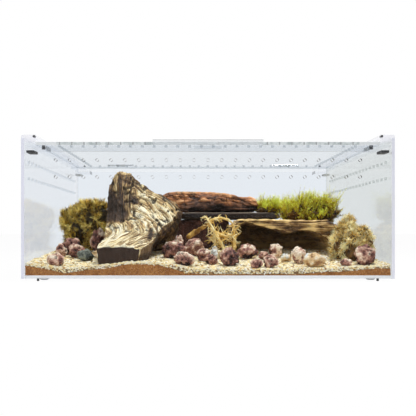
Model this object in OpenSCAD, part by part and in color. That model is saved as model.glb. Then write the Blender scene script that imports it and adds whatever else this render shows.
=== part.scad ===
// Low clear terrarium with a hinged ventilated lid, stacking rails and a natural hardscape.
// X runs left to right, Y front to back, Z up. The origin is on the table, under the middle of the tank.
// Inside place() the second axis is the depth behind the front face and Z starts at the floor's underside.

/* [Tank] */
// Clear width between the two side walls
inner_w = 610; // [600:1:660]
// Clear depth between the front and back walls
inner_d = 457; // [450:1:520]
// Thickness of the clear sheet that every panel is cut from
sheet_t = 5; // [4:0.5:6]
// Height from the underside of the floor to the top of the lid
tank_h = 227; // [222:1:300]

/* [Lid] */
// Depth of the opening lid, from the front face to the hinge line
lid_d = 380; // [300:1:400]
// Running gap round the lid
lid_gap = 0.5; // [0.3:0.1:1]
// Distance from the lid's edges to the ring of vent holes
lid_vent_inset = 32; // [22:1:50]
// Vent holes along the front and back of the ring
lid_vent_columns = 26; // [8:1:32]
// Vent holes along each side of the ring
lid_vent_rows = 17; // [6:1:22]

/* [Lid handle] */
// Length of the finger strip on the lid's front edge
handle_w = 183; // [60:1:260]
// Height of the finger strip
handle_h = 8.5; // [7:0.5:14]
// Thickness of the finger strip
handle_t = 5; // [3:0.5:8]

/* [Wall vents] */
// Diameter of every vent hole
vent_dia = 5; // [3:0.5:8]
// Depth of the upper row of holes below the lid's top
vent_row_upper = 30; // [25:1:40]
// Spacing between the two rows of holes
vent_row_gap = 28; // [12:1:60]
// Spacing of the front wall's holes
front_vent_pitch = 23; // [12:0.5:24]
// Number of holes in a front row
front_vent_count = 23; // [5:1:24]
// Spacing of a side wall's holes
side_vent_pitch = 22; // [12:0.5:23]
// Number of holes in a side row
side_vent_count = 19; // [5:1:20]

/* [Stacking rails] */
// Width of a rail, from the tank's outer side
rail_w = 24; // [20:1:40]
// Height of the spacer between the lid's level and the rail's cap
rail_spacer_h = 7; // [6:0.5:15]
// Chamfer on the cap's outer top edge
rail_chamfer = 1.5; // [0.5:0.5:3]
// Diameter of the plugs in the ends of the caps
plug_dia = 4.2; // [3:0.1:4.4]
// Length of the plugs
plug_l = 6; // [4:1:12]
// Distance from the tank's outer side to a plug's centre
plug_inset = 21.3; // [10:0.1:21.3]

/* [Corner blocks] */
// Width of a corner block along the front or back wall
block_w = 35; // [30:1:60]
// Length of a corner block along the side wall
block_d = 35; // [33:1:60]
// Thickness of a corner block
block_t = 7; // [6:0.5:12]
// Width of the dark pad under a corner block
pad_w = 13; // [8:1:20]
// Length of the dark pad
pad_l = 25; // [10:1:26]
// Thickness of the dark pad
pad_t = 4; // [2:0.5:6]
// Distance from the wall to the dark pad
pad_inset = 8; // [2:1:8]

/* [Magnets] */
// Diameter of the lid's catch magnets
magnet_dia = 6; // [4:0.5:8]
// Thickness of a catch magnet
magnet_t = 3.3; // [2:0.1:3.3]
// Distance from the tank's outer side to a magnet's centre
magnet_inset = 30; // [29.5:0.5:35]
// Distance from the front face to a magnet's centre
magnet_depth = 30; // [15:1:34]

/* [Front header] */
// Height of the stiffening strip behind the front wall's top edge
header_h = 10; // [6:1:20]
// Length of the small catch block on the header
catch_w = 46; // [20:1:80]
// Height of the catch block
catch_h = 5; // [3:0.5:6]
// Depth of the catch block
catch_t = 3; // [2:0.5:6]

/* [Hinges] */
// Length of one hinge
hinge_w = 60; // [40:1:90]
// Distance from the tank's centre to each hinge, as a share of the clear width
hinge_share = 0.3115; // [0.15:0.01:0.35]
// Thickness of a hinge leaf
leaf_t = 1.5; // [1:0.1:2]
// Length of a leaf from the hinge's axis
leaf_l = 18; // [12:1:24]
// Outer diameter of the knuckles
knuckle_dia = 6; // [5:0.1:6.4]
// Diameter of the hinge pin
pin_dia = 2.4; // [2:0.1:3]

/* [Feet] */
// Height of the feet, from the table to the floor's underside
foot_h = 4; // [3:0.5:6]
// Diameter of a clear domed foot
foot_dia = 17; // [12:0.5:22]
// Distance from the tank's outer sides to a foot's centre
foot_inset = 31; // [24:1:60]
// Diameter of a dark locating peg
peg_dia = 4; // [3:0.5:5]
// Distance from the tank's outer side to a peg's centre
peg_inset = 27; // [26.5:0.5:40]
// Distance from the front or back face to a peg's centre
peg_depth = 5; // [3:0.5:10]

/* [Ground] */
// Height of the gravel behind the middle, above the floor's underside
ground_back_h = 38; // [30:1:50]
// Depth over which the gravel climbs from the glass to that height
ground_ramp_d = 200; // [120:5:240]

/* [Hardscape] */
// Width of the bark hide
hide_w = 219; // [205:1:219]
// Length of the bark hide, front to back
hide_d = 190; // [170:1:200]
// Depth of the hide's mouth behind the front face
hide_front = 146; // [146:1:160]
// Distance from the right wall to the hide
hide_inset = 41; // [41:1:45]
// Thickness of the dark slab on the hide
slab_t = 15; // [10:1:20]
// Length of the red-brown bark slab
bark_w = 202; // [150:1:202]
// Thickness of the red-brown bark slab
bark_t = 42; // [25:1:45]

/* [Hidden] */

bore_fn = 32;
outer_w = inner_w + 2 * sheet_t;
outer_d = inner_d + 2 * sheet_t;
half_w = outer_w / 2;
wall_x = inner_w / 2;
front_y = (handle_t - outer_d) / 2;
back_d = outer_d - sheet_t;
lid_z = tank_h - sheet_t;
block_z = lid_z - block_t;
rail_x = half_w - rail_w;
rail_cap_z = tank_h + rail_spacer_h;
lid_w = 2 * (rail_x - lid_gap);
hinge_x = hinge_share * inner_w;
pocket_fit = 0.05;

// Hinge: the axis lies above the joint line between the lid and the fixed rear panel.
hinge_d = lid_d + lid_gap / 2;
knuckle_lift = 0.3;
hinge_z = tank_h + knuckle_lift + knuckle_dia / 2;
knuckle_count = 3;
knuckle_gap = 0.3;
leaf_edge = knuckle_dia / 2 + 0.6;
pin_fit = 0.05;

// The finger strip's lower edge is level with the lid's underside.
handle_z = lid_z;

// Clearance between things that lie on each other in the hardscape.
seat_gap = 0.4;

// The hardscape is laid out on a floor of this width, and spreads with the tank's own width.
layout_w = 610;
layout_x = layout_w / 2;

// Soil height against the front glass, as [share of the floor's width, height above the underside].
soil_profile = [[0, 21.5], [0.055, 16], [0.11, 8.5], [0.17, 14], [0.22, 16.5], [0.28, 23.5],
    [0.33, 23.5], [0.37, 22], [0.4, 17], [0.44, 9], [0.5, 7], [0.75, 7], [0.82, 10.5],
    [0.88, 11.5], [0.93, 15], [0.97, 17], [1, 16]];
// Gravel height against the front glass, in the same form.
gravel_profile = [[0, 25], [0.055, 21], [0.11, 17.5], [0.17, 20], [0.22, 23], [0.28, 27],
    [0.33, 27], [0.39, 24], [0.44, 18], [0.5, 15], [0.75, 15], [0.82, 17], [0.9, 19.5],
    [0.96, 21], [1, 22]];
// Low mounds in the gravel.
mound_h = 0.8;
mound_pitch = 72;
ground_columns = 34;
ground_rows = 25;

// Straight-line value of a [share, value] list at share u, and of a plain list spread evenly over 0 to 1.
function along(list, u, i = 0) =
    i >= len(list) - 2 || u <= list[i + 1][0]
        ? let (a = list[i], b = list[i + 1], t = min(max((u - a[0]) / (b[0] - a[0]), 0), 1))
            a[1] + (b[1] - a[1]) * t
        : along(list, u, i + 1);
function spread(list, u) =
    let (s = min(max(u, 0), 1) * (len(list) - 1), i = min(floor(s), len(list) - 2), t = s - i)
        list[i] * (1 - t) + list[i + 1] * t;

// One smooth curve through all items of a list, read at item s or part way past it.
function smooth(list, s) =
    let (i = min(floor(s), len(list) - 2), t = s - i, a = list[max(i - 1, 0)], b = list[i], c = list[i + 1],
        e = list[min(i + 2, len(list) - 1)])
        b + (c - a) * t / 2 + (2 * a - 5 * b + 4 * c - e) * t * t / 2 + (3 * b - a - 3 * c + e) * t * t * t / 2;

// Gravel heights at the corners of a grid over the floor.
ground_x = [for (i = [0:ground_columns]) layout_w * i / ground_columns - layout_x];
ground_d = [for (j = [0:ground_rows]) sheet_t + inner_d * j / ground_rows];
ground_z = [for (d = ground_d) [for (i = [0:ground_columns])
    let (f = along(gravel_profile, i / ground_columns), t = min((d - sheet_t) / ground_ramp_d, 1),
        mound = mound_h * sin(360 * ground_x[i] / mound_pitch) * sin(360 * d / mound_pitch))
        f + (ground_back_h - f) * t + mound]];

// Height of the gravel's top at a place on the floor, on the same triangles as its surface.
function ground(x, d) =
    let (a = min(max((x + layout_x) / layout_w, 0), 1) * ground_columns,
        b = min(max((d - sheet_t) / inner_d, 0), 1) * ground_rows,
        i = min(floor(a), ground_columns - 1), j = min(floor(b), ground_rows - 1), u = a - i, v = b - j,
        near = ground_z[j], far = ground_z[j + 1])
        near[i] + (u > v ? u * (near[i + 1] - near[i]) + v * (far[i + 1] - near[i + 1])
            : v * (far[i] - near[i]) + u * (far[i + 1] - far[i]));

// Moves the tank's own frame onto its feet, with the part's origin under its middle.
module place() {
    translate([0, front_y, foot_h]) children();
}
module laid() {
    place() scale([inner_w / layout_w, 1, 1]) children();
}

// A rectangular piece of sheet or strip between two corners.
module strip(low, high) {
    translate(low) cube(high - low);
}

// Faces between each ring of n points and the next, for m rings in one list of points.
function ring_sides(n, m) = [for (j = [0:m - 2], i = [0:n - 1]) each
    let (a = j * n + i, b = j * n + (i + 1) % n) [[a, b, b + n], [a, b + n, a + n]]];

// Closed solid through a list of round rings, all with as many points. Each end is closed to its own middle.
module loft(rings) {
    n = len(rings[0]);
    m = len(rings);
    middle = function(ring) [for (k = [0:2]) [for (p = ring) p[k]] * [for (p = ring) 1] / n];
    first = [for (i = [0:n - 1]) [m * n, (i + 1) % n, i]];
    last = [for (i = [0:n - 1]) [m * n + 1, (m - 1) * n + i, (m - 1) * n + (i + 1) % n]];
    points = concat([for (r = rings) each r], [middle(rings[0]), middle(rings[m - 1])]);
    polyhedron(points, concat(ring_sides(n, m), first, last), convexity = 8);
}

// Closed solid between an upper and a lower line that run together from station to station.
// Each end is closed by a strip from one line to the other.
module mantle(uppers, lowers) {
    n = len(uppers[0]);
    m = len(uppers);
    end = (m - 1) * 2 * n;
    points = [for (j = [0:m - 1]) each concat(uppers[j], [for (i = [n - 1:-1:0]) lowers[j][i]])];
    first = [for (i = [0:n - 2]) each [[i + 1, i, 2 * n - 1 - i], [i + 1, 2 * n - 1 - i, 2 * n - 2 - i]]];
    last = [for (f = first) [f[2], f[1], f[0]] + [end, end, end]];
    polyhedron(points, concat(ring_sides(2 * n, m), first, last), convexity = 8);
}

// A lumpy mound or stone, its foot following the seat it lies on.
// size is [width, depth, height]; levels lists [share of the height, share of the half width] to its crown.
stone_levels = [[0.22, 1], [0.5, 0.97], [0.76, 0.78], [0.93, 0.45]];
moss_levels = [[0.14, 1], [0.34, 1.02], [0.56, 0.94], [0.76, 0.78], [0.9, 0.52]];
stone_foot = 0.8;
foot_rings = [1 / 3, 2 / 3, 1];
tip_share = 0.12;
module lump(centre, size, seed, seat, levels = stone_levels, sides = 10, rough = 0.12) {
    base = seat(centre[0], centre[1]) + seat_gap;
    bumps = rands(1 - rough, 1 + rough, sides * len(levels), seed);
    foot = [for (k = foot_rings) [for (i = [0:sides - 1])
        let (a = -360 * i / sides, r = stone_foot * k * bumps[i],
            x = centre[0] + r * size[0] / 2 * cos(a), d = centre[1] + r * size[1] / 2 * sin(a))
            [x, d, seat(x, d) + seat_gap]]];
    body = [for (j = [0:len(levels) - 1]) [for (i = [0:sides - 1])
        let (a = -360 * (i + (j % 2) / 3) / sides, r = levels[j][1] * bumps[j * sides + i])
            [centre[0] + r * size[0] / 2 * cos(a), centre[1] + r * size[1] / 2 * sin(a),
                base + size[2] * levels[j][0] * (1 + (bumps[(j + i) % len(bumps)] - 1) / 3)]]];
    tip = [for (i = [0:sides - 1])
        let (a = -360 * i / sides)
            [centre[0] + tip_share * size[0] * cos(a), centre[1] + tip_share * size[1] * sin(a),
                base + size[2]]];
    loft(concat(foot, body, [tip]));
}

// ---- the clear box ----

vent_rows = [tank_h - vent_row_upper, tank_h - vent_row_upper - vent_row_gap];

module base_panel() color([0.86, 0.9, 0.93, 0.35]) place()
    strip([-wall_x, sheet_t, 0], [wall_x, back_d, sheet_t]);

module side_panel(side) color([0.88, 0.9, 0.96, 0.35]) place()
    difference() {
        strip([side * (half_w + wall_x) / 2 - sheet_t / 2, 0, 0],
            [side * (half_w + wall_x) / 2 + sheet_t / 2, outer_d, rail_cap_z]);
        for (z = vent_rows, i = [0:side_vent_count - 1])
            translate([side * half_w, outer_d / 2 + (i - (side_vent_count - 1) / 2) * side_vent_pitch, z])
                rotate([0, 90, 0]) cylinder(d = vent_dia, h = 3 * sheet_t, center = true, $fn = bore_fn);
    }

module front_panel() color([0.9, 0.93, 0.96, 0.3]) place()
    difference() {
        strip([-wall_x, 0, 0], [wall_x, sheet_t, lid_z]);
        for (z = vent_rows, i = [0:front_vent_count - 1])
            translate([(i - (front_vent_count - 1) / 2) * front_vent_pitch, sheet_t / 2, z])
                rotate([90, 0, 0]) cylinder(d = vent_dia, h = 2 * sheet_t, center = true, $fn = bore_fn);
    }

module back_panel() color([0.88, 0.91, 0.95, 0.35]) place()
    strip([-wall_x, back_d, 0], [wall_x, outer_d, lid_z]);

module rear_top_panel() color([0.86, 0.9, 0.93, 0.35]) place()
    strip([-wall_x, lid_d + lid_gap, lid_z], [wall_x, outer_d, tank_h]);

module top_strip(side) color([0.86, 0.9, 0.93, 0.35]) place()
    strip([min(side * rail_x, side * wall_x), 0, lid_z],
        [max(side * rail_x, side * wall_x), lid_d + lid_gap, tank_h]);

module rail_spacer(side) color([0.86, 0.9, 0.93, 0.4]) place()
    strip([min(side * rail_x, side * wall_x), 0, tank_h],
        [max(side * rail_x, side * wall_x), outer_d, rail_cap_z]);

module rail_cap(side) color([0.86, 0.9, 0.93, 0.4]) place()
    difference() {
        translate([0, outer_d, rail_cap_z]) rotate([90, 0, 0]) linear_extrude(outer_d)
            polygon([for (p = [[rail_x, 0], [half_w, 0], [half_w, sheet_t - rail_chamfer],
                [half_w - rail_chamfer, sheet_t], [rail_x, sheet_t]]) [side * p[0], p[1]]]);
        for (end = [0, outer_d])
            translate([side * (half_w - plug_inset), end, rail_cap_z + sheet_t / 2])
                rotate([90, 0, 0])
                    cylinder(d = plug_dia + 2 * pocket_fit, h = 2 * plug_l, center = true, $fn = bore_fn);
    }

module rail_plugs() color([0.05, 0.05, 0.05]) place()
    for (side = [-1, 1], start = [0, outer_d - plug_l])
        translate([side * (half_w - plug_inset), start, rail_cap_z + sheet_t / 2])
            rotate([-90, 0, 0]) cylinder(d = plug_dia, h = plug_l, $fn = bore_fn);

module front_header() color([0.86, 0.9, 0.93, 0.4]) place()
    strip([block_w - wall_x, sheet_t, lid_z - header_h], [wall_x - block_w, 2 * sheet_t, lid_z]);

module header_catch() color([0.6, 0.65, 0.68, 0.5]) place()
    strip([-catch_w / 2, 2 * sheet_t, lid_z - catch_h], [catch_w / 2, 2 * sheet_t + catch_t, lid_z]);

module corner_block(side, start, with_magnet) {
    difference() {
        strip([min(side * wall_x, side * (wall_x - block_w)), start, block_z],
            [max(side * wall_x, side * (wall_x - block_w)), start + block_d, lid_z]);
        if (with_magnet)
            translate([side * (half_w - magnet_inset), magnet_depth, lid_z - magnet_t])
                cylinder(d = magnet_dia + 2 * pocket_fit, h = 2 * magnet_t, $fn = bore_fn);
    }
}

module front_corner_blocks() color([0.93, 0.95, 0.97, 0.5]) place()
    for (side = [-1, 1]) corner_block(side, sheet_t, true);

module rear_corner_blocks() color([0.93, 0.95, 0.97, 0.5]) place()
    for (side = [-1, 1]) corner_block(side, back_d - block_d, false);

module corner_pads() color([0.06, 0.06, 0.06]) place()
    for (side = [-1, 1], start = [sheet_t + pad_inset, back_d - pad_inset - pad_l])
        strip([min(side * wall_x, side * (wall_x - pad_w)), start, block_z - pad_t],
            [max(side * wall_x, side * (wall_x - pad_w)), start + pad_l, block_z]);

module magnets(z) color([0.07, 0.07, 0.08]) place()
    for (side = [-1, 1])
        translate([side * (half_w - magnet_inset), magnet_depth, z])
            cylinder(d = magnet_dia, h = magnet_t, $fn = bore_fn);

// ---- the lid and its hinges ----

module lid_panel() {
    vent_x = lid_w - 2 * lid_vent_inset;
    vent_d = lid_d - 2 * lid_vent_inset;
    ring = concat(
        [for (i = [0:lid_vent_columns - 1], j = [0, 1]) [i / (lid_vent_columns - 1), j]],
        [for (j = [1:lid_vent_rows - 2], i = [0, 1]) [i, j / (lid_vent_rows - 1)]]);
    color([0.88, 0.92, 0.95, 0.3]) place()
        difference() {
            strip([-lid_w / 2, 0, lid_z], [lid_w / 2, lid_d, tank_h]);
            for (p = ring)
                translate([(p[0] - 0.5) * vent_x, lid_vent_inset + p[1] * vent_d, lid_z - 1])
                    cylinder(d = vent_dia, h = sheet_t + 2, $fn = bore_fn);
            for (side = [-1, 1])
                translate([side * (half_w - magnet_inset), magnet_depth, lid_z - 1])
                    cylinder(d = magnet_dia + 2 * pocket_fit, h = magnet_t + 1, $fn = bore_fn);
        }
}

module lid_handle() color([0.85, 0.88, 0.9, 0.45]) place()
    strip([-handle_w / 2, -handle_t, handle_z], [handle_w / 2, 0, handle_z + handle_h]);

// The run of one knuckle along the hinge, as [start, length].
knuckle_step = hinge_w / knuckle_count;
function knuckle_run(i) = [-hinge_w / 2 + i * knuckle_step + knuckle_gap / 2, knuckle_step - knuckle_gap];

// One leaf: the flat plate, and its own knuckles joined to it by tongues.
// way is -1 for the lid, 1 for the frame.
module hinge_leaf(centre_x, way, knuckles) color([0.85, 0.88, 0.9, 0.5]) place()
    translate([centre_x, hinge_d, 0])
        difference() {
            union() {
                strip([-hinge_w / 2, min(way * leaf_edge, way * leaf_l), tank_h],
                    [hinge_w / 2, max(way * leaf_edge, way * leaf_l), tank_h + leaf_t]);
                for (i = knuckles) let (run = knuckle_run(i)) {
                    strip([run[0], min(0, way * leaf_edge), tank_h + knuckle_lift],
                        [run[0] + run[1], max(0, way * leaf_edge), tank_h + leaf_t]);
                    translate([run[0], 0, hinge_z]) rotate([0, 90, 0])
                        cylinder(d = knuckle_dia, h = run[1], $fn = bore_fn);
                }
            }
            translate([0, 0, hinge_z]) rotate([0, 90, 0])
                cylinder(d = pin_dia + 2 * pin_fit, h = hinge_w + 2, center = true, $fn = bore_fn);
        }

module hinge_pin(centre_x) color([0.75, 0.76, 0.78]) place()
    translate([centre_x, hinge_d, hinge_z]) rotate([0, 90, 0])
        cylinder(d = pin_dia, h = hinge_w, center = true, $fn = bore_fn);

frame_knuckles = [0, 2];
lid_knuckles = [1];

// ---- what it stands on ----

foot_flat = 0.55;
module bumper_feet() {
    edge = foot_dia / 2;
    dome = concat([[0, 0]],
        [for (a = [0:15:90]) [edge * (foot_flat + (1 - foot_flat) * sin(a)), foot_h * (1 - cos(a))]],
        [[0, foot_h]]);
    color([0.8, 0.83, 0.85, 0.5])
        for (side = [-1, 1], d = [foot_inset, outer_d - foot_inset])
            translate([side * (half_w - foot_inset), front_y + d, 0])
                rotate_extrude($fn = 48) polygon(dome);
}

module locating_pegs() color([0.05, 0.05, 0.05])
    for (side = [-1, 1], d = [peg_depth, outer_d - peg_depth])
        translate([side * (half_w - peg_inset), front_y + d, 0])
            cylinder(d = peg_dia, h = foot_h, $fn = bore_fn);

// ---- soil and gravel ----

soil_z = [for (i = [0:ground_columns]) along(soil_profile, i / ground_columns)];

module soil_layer() color([0.36, 0.22, 0.13]) laid()
    translate([0, back_d, 0]) rotate([90, 0, 0]) linear_extrude(inner_d)
        polygon(concat([[layout_x, sheet_t], [-layout_x, sheet_t]],
            [for (i = [0:ground_columns]) [ground_x[i], soil_z[i]]]));

module gravel_bed() color([0.93, 0.88, 0.74]) laid()
    mantle([for (j = [0:ground_rows])
            [for (i = [0:ground_columns]) [ground_x[i], ground_d[j], ground_z[j][i]]]],
        [for (d = ground_d) [for (i = [0:ground_columns]) [ground_x[i], d, soil_z[i]]]]);

// ---- wood and bark ----

// The driftwood from its cut face at the glass to its back: each station is
// [depth, left, right, heights across the top, heights across the underside].
// An underside of 0 lies on the gravel.
// Left and right are measured from the left wall.
wood = [
    [12, 119, 190, [50, 52, 53, 53, 53, 52, 48], [0, 0, 0, 0, 0, 0, 0]],
    [35, 116, 203, [53, 57, 60, 61, 61, 60, 55], [0, 0, 0, 0, 0, 0, 0]],
    [65, 116, 213, [58, 67, 72, 75, 74, 71, 64], [0, 0, 0, 0, 36, 46, 52]],
    [95, 117, 222, [66, 80, 88, 91, 90, 86, 78], [0, 0, 0, 0, 46, 58, 66]],
    [125, 117, 236, [86, 106, 106, 104, 103, 99, 90], [0, 0, 0, 40, 56, 70, 78]],
    [150, 116, 246, [130, 163, 150, 124, 116, 111, 102], [0, 0, 0, 42, 60, 78, 90]],
    [175, 114, 256, [168, 195, 183, 168, 152, 139, 121], [0, 0, 0, 44, 62, 84, 102]],
    [200, 116, 260, [158, 186, 176, 163, 148, 134, 116], [0, 0, 0, 0, 60, 78, 98]],
    [222, 124, 250, [118, 142, 142, 134, 124, 112, 98], [0, 0, 0, 0, 0, 0, 76]],
    [236, 138, 230, [72, 86, 92, 90, 84, 78, 66], [0, 0, 0, 0, 0, 0, 0]]
];
wood_steps = 3;
wood_across = 30;
wood_least_t = 8;
// Waves across the wood, as [height, number across, turn from one station to the next].
wood_waves = [[2.2, 5, 35], [1.6, 2, -75]];

// The line across the wood's top or underside at station s, which may lie part way between two.
function wood_line(s, upper) =
    let (w = smooth(wood, s), i = min(floor(s), len(wood) - 2),
        under = wood[i][4] + (wood[i + 1][4] - wood[i][4]) * (s - i))
        [for (k = [0:wood_across])
            let (u = k / wood_across, x = w[1] + (w[2] - w[1]) * u - layout_x,
                crown = smooth(w[3], 6 * u)
                    + [for (v = wood_waves) v[0] * sin(360 * v[1] * u + v[2] * s)] * [for (v = wood_waves) 1],
                belly = min(max(spread(under, u), ground(x, w[0]) + seat_gap), crown - wood_least_t))
                [x, w[0], upper ? crown : belly]];
wood_stops = [for (k = [0:wood_steps * (len(wood) - 1)]) k / wood_steps];

module driftwood() color([0.74, 0.66, 0.5]) laid()
    mantle([for (s = wood_stops) wood_line(s, true)], [for (s = wood_stops) wood_line(s, false)]);

// The hide is an arched shell open at the front: outlines of its outer and inner faces across the mouth,
// as [share of the hide's width, height above the underside]. Height 0 stands on the gravel.
hide_outer = [[0, 0], [0.01, 62], [0.03, 86], [0.07, 98], [0.15, 102], [0.28, 99], [0.43, 96], [0.6, 95],
    [0.75, 95.5], [0.86, 95], [0.93, 90], [0.975, 74], [0.99, 58], [1, 0]];
hide_inner = [[0.05, 0], [0.052, 56], [0.06, 80], [0.09, 91], [0.15, 95], [0.28, 90], [0.43, 80],
    [0.53, 74.5], [0.62, 81], [0.7, 80], [0.8, 70], [0.88, 58], [0.925, 46], [0.945, 0]];
hide_rows = 14;
hide_crest = 0.66;
back_height = 0.45;
back_hollow = 0;
hide_lean = 0.02;
hide_gap = 0.75;
rim_least = 1;
rim_grade = 60;
hide_x = layout_x - hide_inset - hide_w;

// How far each face keeps its height at share t of the length; the back runs down and closes on the gravel.
function hide_keep(t, low) =
    t <= hide_crest ? 1 : 1 - (1 - low) * pow((t - hide_crest) / (1 - hide_crest), 1.5);

function hide_point(p, t, low) =
    let (x = hide_x + hide_w * (hide_lean * t + p[0] * (1 - 2 * hide_lean * t)), d = hide_front + hide_d * t,
        foot = ground(x, d) + hide_gap, least = foot + rim_least + p[1] / rim_grade)
        [x, d, p[1] == 0 ? foot : max(least, foot + (p[1] - foot) * hide_keep(t, low))];

module bark_hide() color([0.5, 0.38, 0.24]) laid()
    mantle([for (j = [0:hide_rows]) [for (p = hide_outer) hide_point(p, j / hide_rows, back_height)]],
        [for (j = [0:hide_rows]) [for (p = hide_inner) hide_point(p, j / hide_rows, back_hollow)]]);

// Top of the hide at a place, for what lies on it. The front two thirds keep their full height.
function hide_top(x, d) = along(hide_outer, min(max((x - hide_x) / hide_w, 0.07), 0.93));
hide_peak = 102;
hide_shoulder = 95;

// Flat dark slab: left end on a standing stone, right end on the hide.
slab_z = hide_peak + seat_gap;
slab_d = hide_front + 89;
slab_outline = [[-10, 8], [18, 0], [60, 3], [110, 0], [160, 5], [190, 14], [197, 40], [192, 72], [170, 90],
    [120, 96], [70, 93], [25, 97], [-4, 84], [-14, 50]];
slab_x = hide_x - 85;
slab_top = slab_z + slab_t;

module dark_slab() color([0.2, 0.16, 0.14]) laid()
    translate([slab_x, slab_d, slab_z]) linear_extrude(slab_t) polygon(slab_outline);

// The standing stone rises from the gravel's mounds to the slab.
stone_outline = [[0, 10], [14, 0], [58, -4], [78, 6], [81, 38], [62, 58], [12, 54], [-3, 36]];
stone_z = ground_back_h + mound_h + seat_gap;
module support_stone() color([0.4, 0.28, 0.26]) laid()
    translate([slab_x, slab_d + 20, stone_z])
        linear_extrude(slab_z - seat_gap - stone_z) polygon(stone_outline);

// Red-brown bark slab lying on the dark slab:
// [share of its length, lift of the underside, share of the thickness, depth].
bark_stations = [[0, 0.55, 0.82, 26], [0.06, 0.2, 0.97, 46], [0.16, 0, 1, 60], [0.34, 0, 0.97, 70],
    [0.5, 0, 1, 74], [0.66, 0, 0.98, 74], [0.8, 0, 0.84, 70], [0.91, 0, 0.76, 60], [0.97, 0.04, 0.66, 46],
    [1, 0.14, 0.42, 30]];
bark_x = slab_x - 49;
bark_middle_d = slab_d + 50;
bark_sides = 16;
bark_square = 0.6;
bark_wave = 0.06;
bark_twist = 500;

function bark_ring(s) =
    let (low = slab_top + seat_gap + s[1] * bark_t, high = slab_top + seat_gap + s[2] * bark_t,
        mid = (low + high) / 2, x = bark_x + bark_w * s[0])
        [for (i = [0:bark_sides - 1])
            let (a = -360 * (i + 0.5) / bark_sides, c = cos(a), v = sin(a),
                bulge = 1 + bark_wave * sin(3 * a + bark_twist * s[0]))
                [x, bark_middle_d + sign(c) * sqrt(abs(c)) * bulge * s[3] / 2,
                    mid + sign(v) * pow(abs(v), bark_square) * (high - low) / 2 * (v > 0 ? bulge : 1)]];

module bark_slab() color([0.42, 0.23, 0.14]) laid()
    loft([for (s = bark_stations) bark_ring(s)]);

// ---- stones ----

// Each stone is [distance from the wall, depth, width, depth of the stone, height].
// Left stones are measured from the left wall, the others from the right wall.
left_rocks = [[47, 24, 27, 24, 19], [64, 118, 30, 26, 24], [32, 128, 20, 18, 22], [47, 157, 40, 26, 30],
    [94, 192, 30, 26, 44]];
middle_rocks = [[364, 92, 42, 34, 30], [345, 28, 33, 26, 21], [324, 150, 36, 28, 31], [356, 161, 20, 16, 33],
    [309, 90, 25, 20, 20], [298, 60, 21, 19, 18], [266, 44, 34, 28, 29]];
right_rocks = [[228, 118, 36, 28, 28], [199, 106, 20, 17, 15], [174, 130, 26, 24, 25], [199, 26, 24, 20, 20],
    [222, 18, 21, 17, 15], [142, 66, 24, 20, 27], [37, 28, 34, 28, 33], [71, 19, 20, 15, 11]];
grey_rocks = [[88, 76, 30, 25, 19]];
pale_left = [[102, 104, 19, 15, 14]];
pale_right = [[161, 84, 18, 15, 13], [121, 30, 36, 26, 22], [288, 106, 13, 12, 24]];

module stones(list, anchor, way, seed) laid()
    for (i = [0:len(list) - 1])
        let (s = list[i])
            lump([anchor + way * s[0], s[1]], [s[2], s[3], s[4]], seed + i, function(x, d) ground(x, d));

module left_lava_rocks() color([0.4, 0.26, 0.25]) stones(left_rocks, -layout_x, 1, 11);
module middle_lava_rocks() color([0.42, 0.27, 0.26]) stones(middle_rocks, layout_x, -1, 31);
module right_lava_rocks() color([0.45, 0.29, 0.28]) stones(right_rocks, layout_x, -1, 51);
module grey_stones() color([0.3, 0.32, 0.31]) stones(grey_rocks, -layout_x, 1, 71);
module pale_stones() color([0.78, 0.66, 0.5]) {
    stones(pale_left, -layout_x, 1, 81);
    stones(pale_right, layout_x, -1, 91);
}

// ---- moss and roots ----

moss_sides = 14;
moss_rough = 0.09;
moss_lift = 0.6;

module left_moss() color([0.5, 0.42, 0.12]) laid()
    lump([-layout_x + 54, 256], [96, 80, 108], 101, function(x, d) ground(x, d), moss_levels, moss_sides,
        moss_rough);

// What lies on the hide's top at a place, clear of the bark.
function hide_seat(x, d) = max(hide_top(x, d), hide_shoulder) + moss_lift;
module ridge_moss() color([0.5, 0.55, 0.16]) laid()
    lump([hide_x + 167, hide_front + 62], [100, 84, 62], 103, function(x, d) hide_seat(x, d), moss_levels,
        moss_sides, moss_rough);

module slab_moss() color([0.6, 0.62, 0.22]) laid()
    lump([slab_x + 182, slab_d + 40], [50, 56, 38], 105, function(x, d) slab_top, moss_levels, moss_sides,
        moss_rough);

module tan_moss() color([0.74, 0.6, 0.34]) laid()
    lump([layout_x - 36, 98], [62, 76, 72], 107, function(x, d) ground(x, d), moss_levels, moss_sides,
        moss_rough);

// A tapering stick along a smooth curve through its points.
stick_sides = 6;
stick_steps = 8;
function curve(p, t) =
    let (s = 1 - t) s * s * s * p[0] + 3 * t * s * s * p[1] + 3 * t * t * s * p[2] + t * t * t * p[3];

// Rings stand square to the stick's main run, which never turns past a right angle from it.
module stick(p, thick, thin) {
    run = (p[3] - p[0]) / norm(p[3] - p[0]);
    side = cross(run, abs(run[1]) < 0.8 ? [0, 1, 0] : [1, 0, 0]);
    u = side / norm(side);
    v = cross(run, u);
    loft([for (k = [0:stick_steps]) let (t = k / stick_steps, r = (thick + (thin - thick) * t) / 2)
        [for (i = [0:stick_sides - 1]) let (a = -360 * i / stick_sides)
            curve(p, t) + r * (cos(a) * u + sin(a) * v)]]);
}

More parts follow.
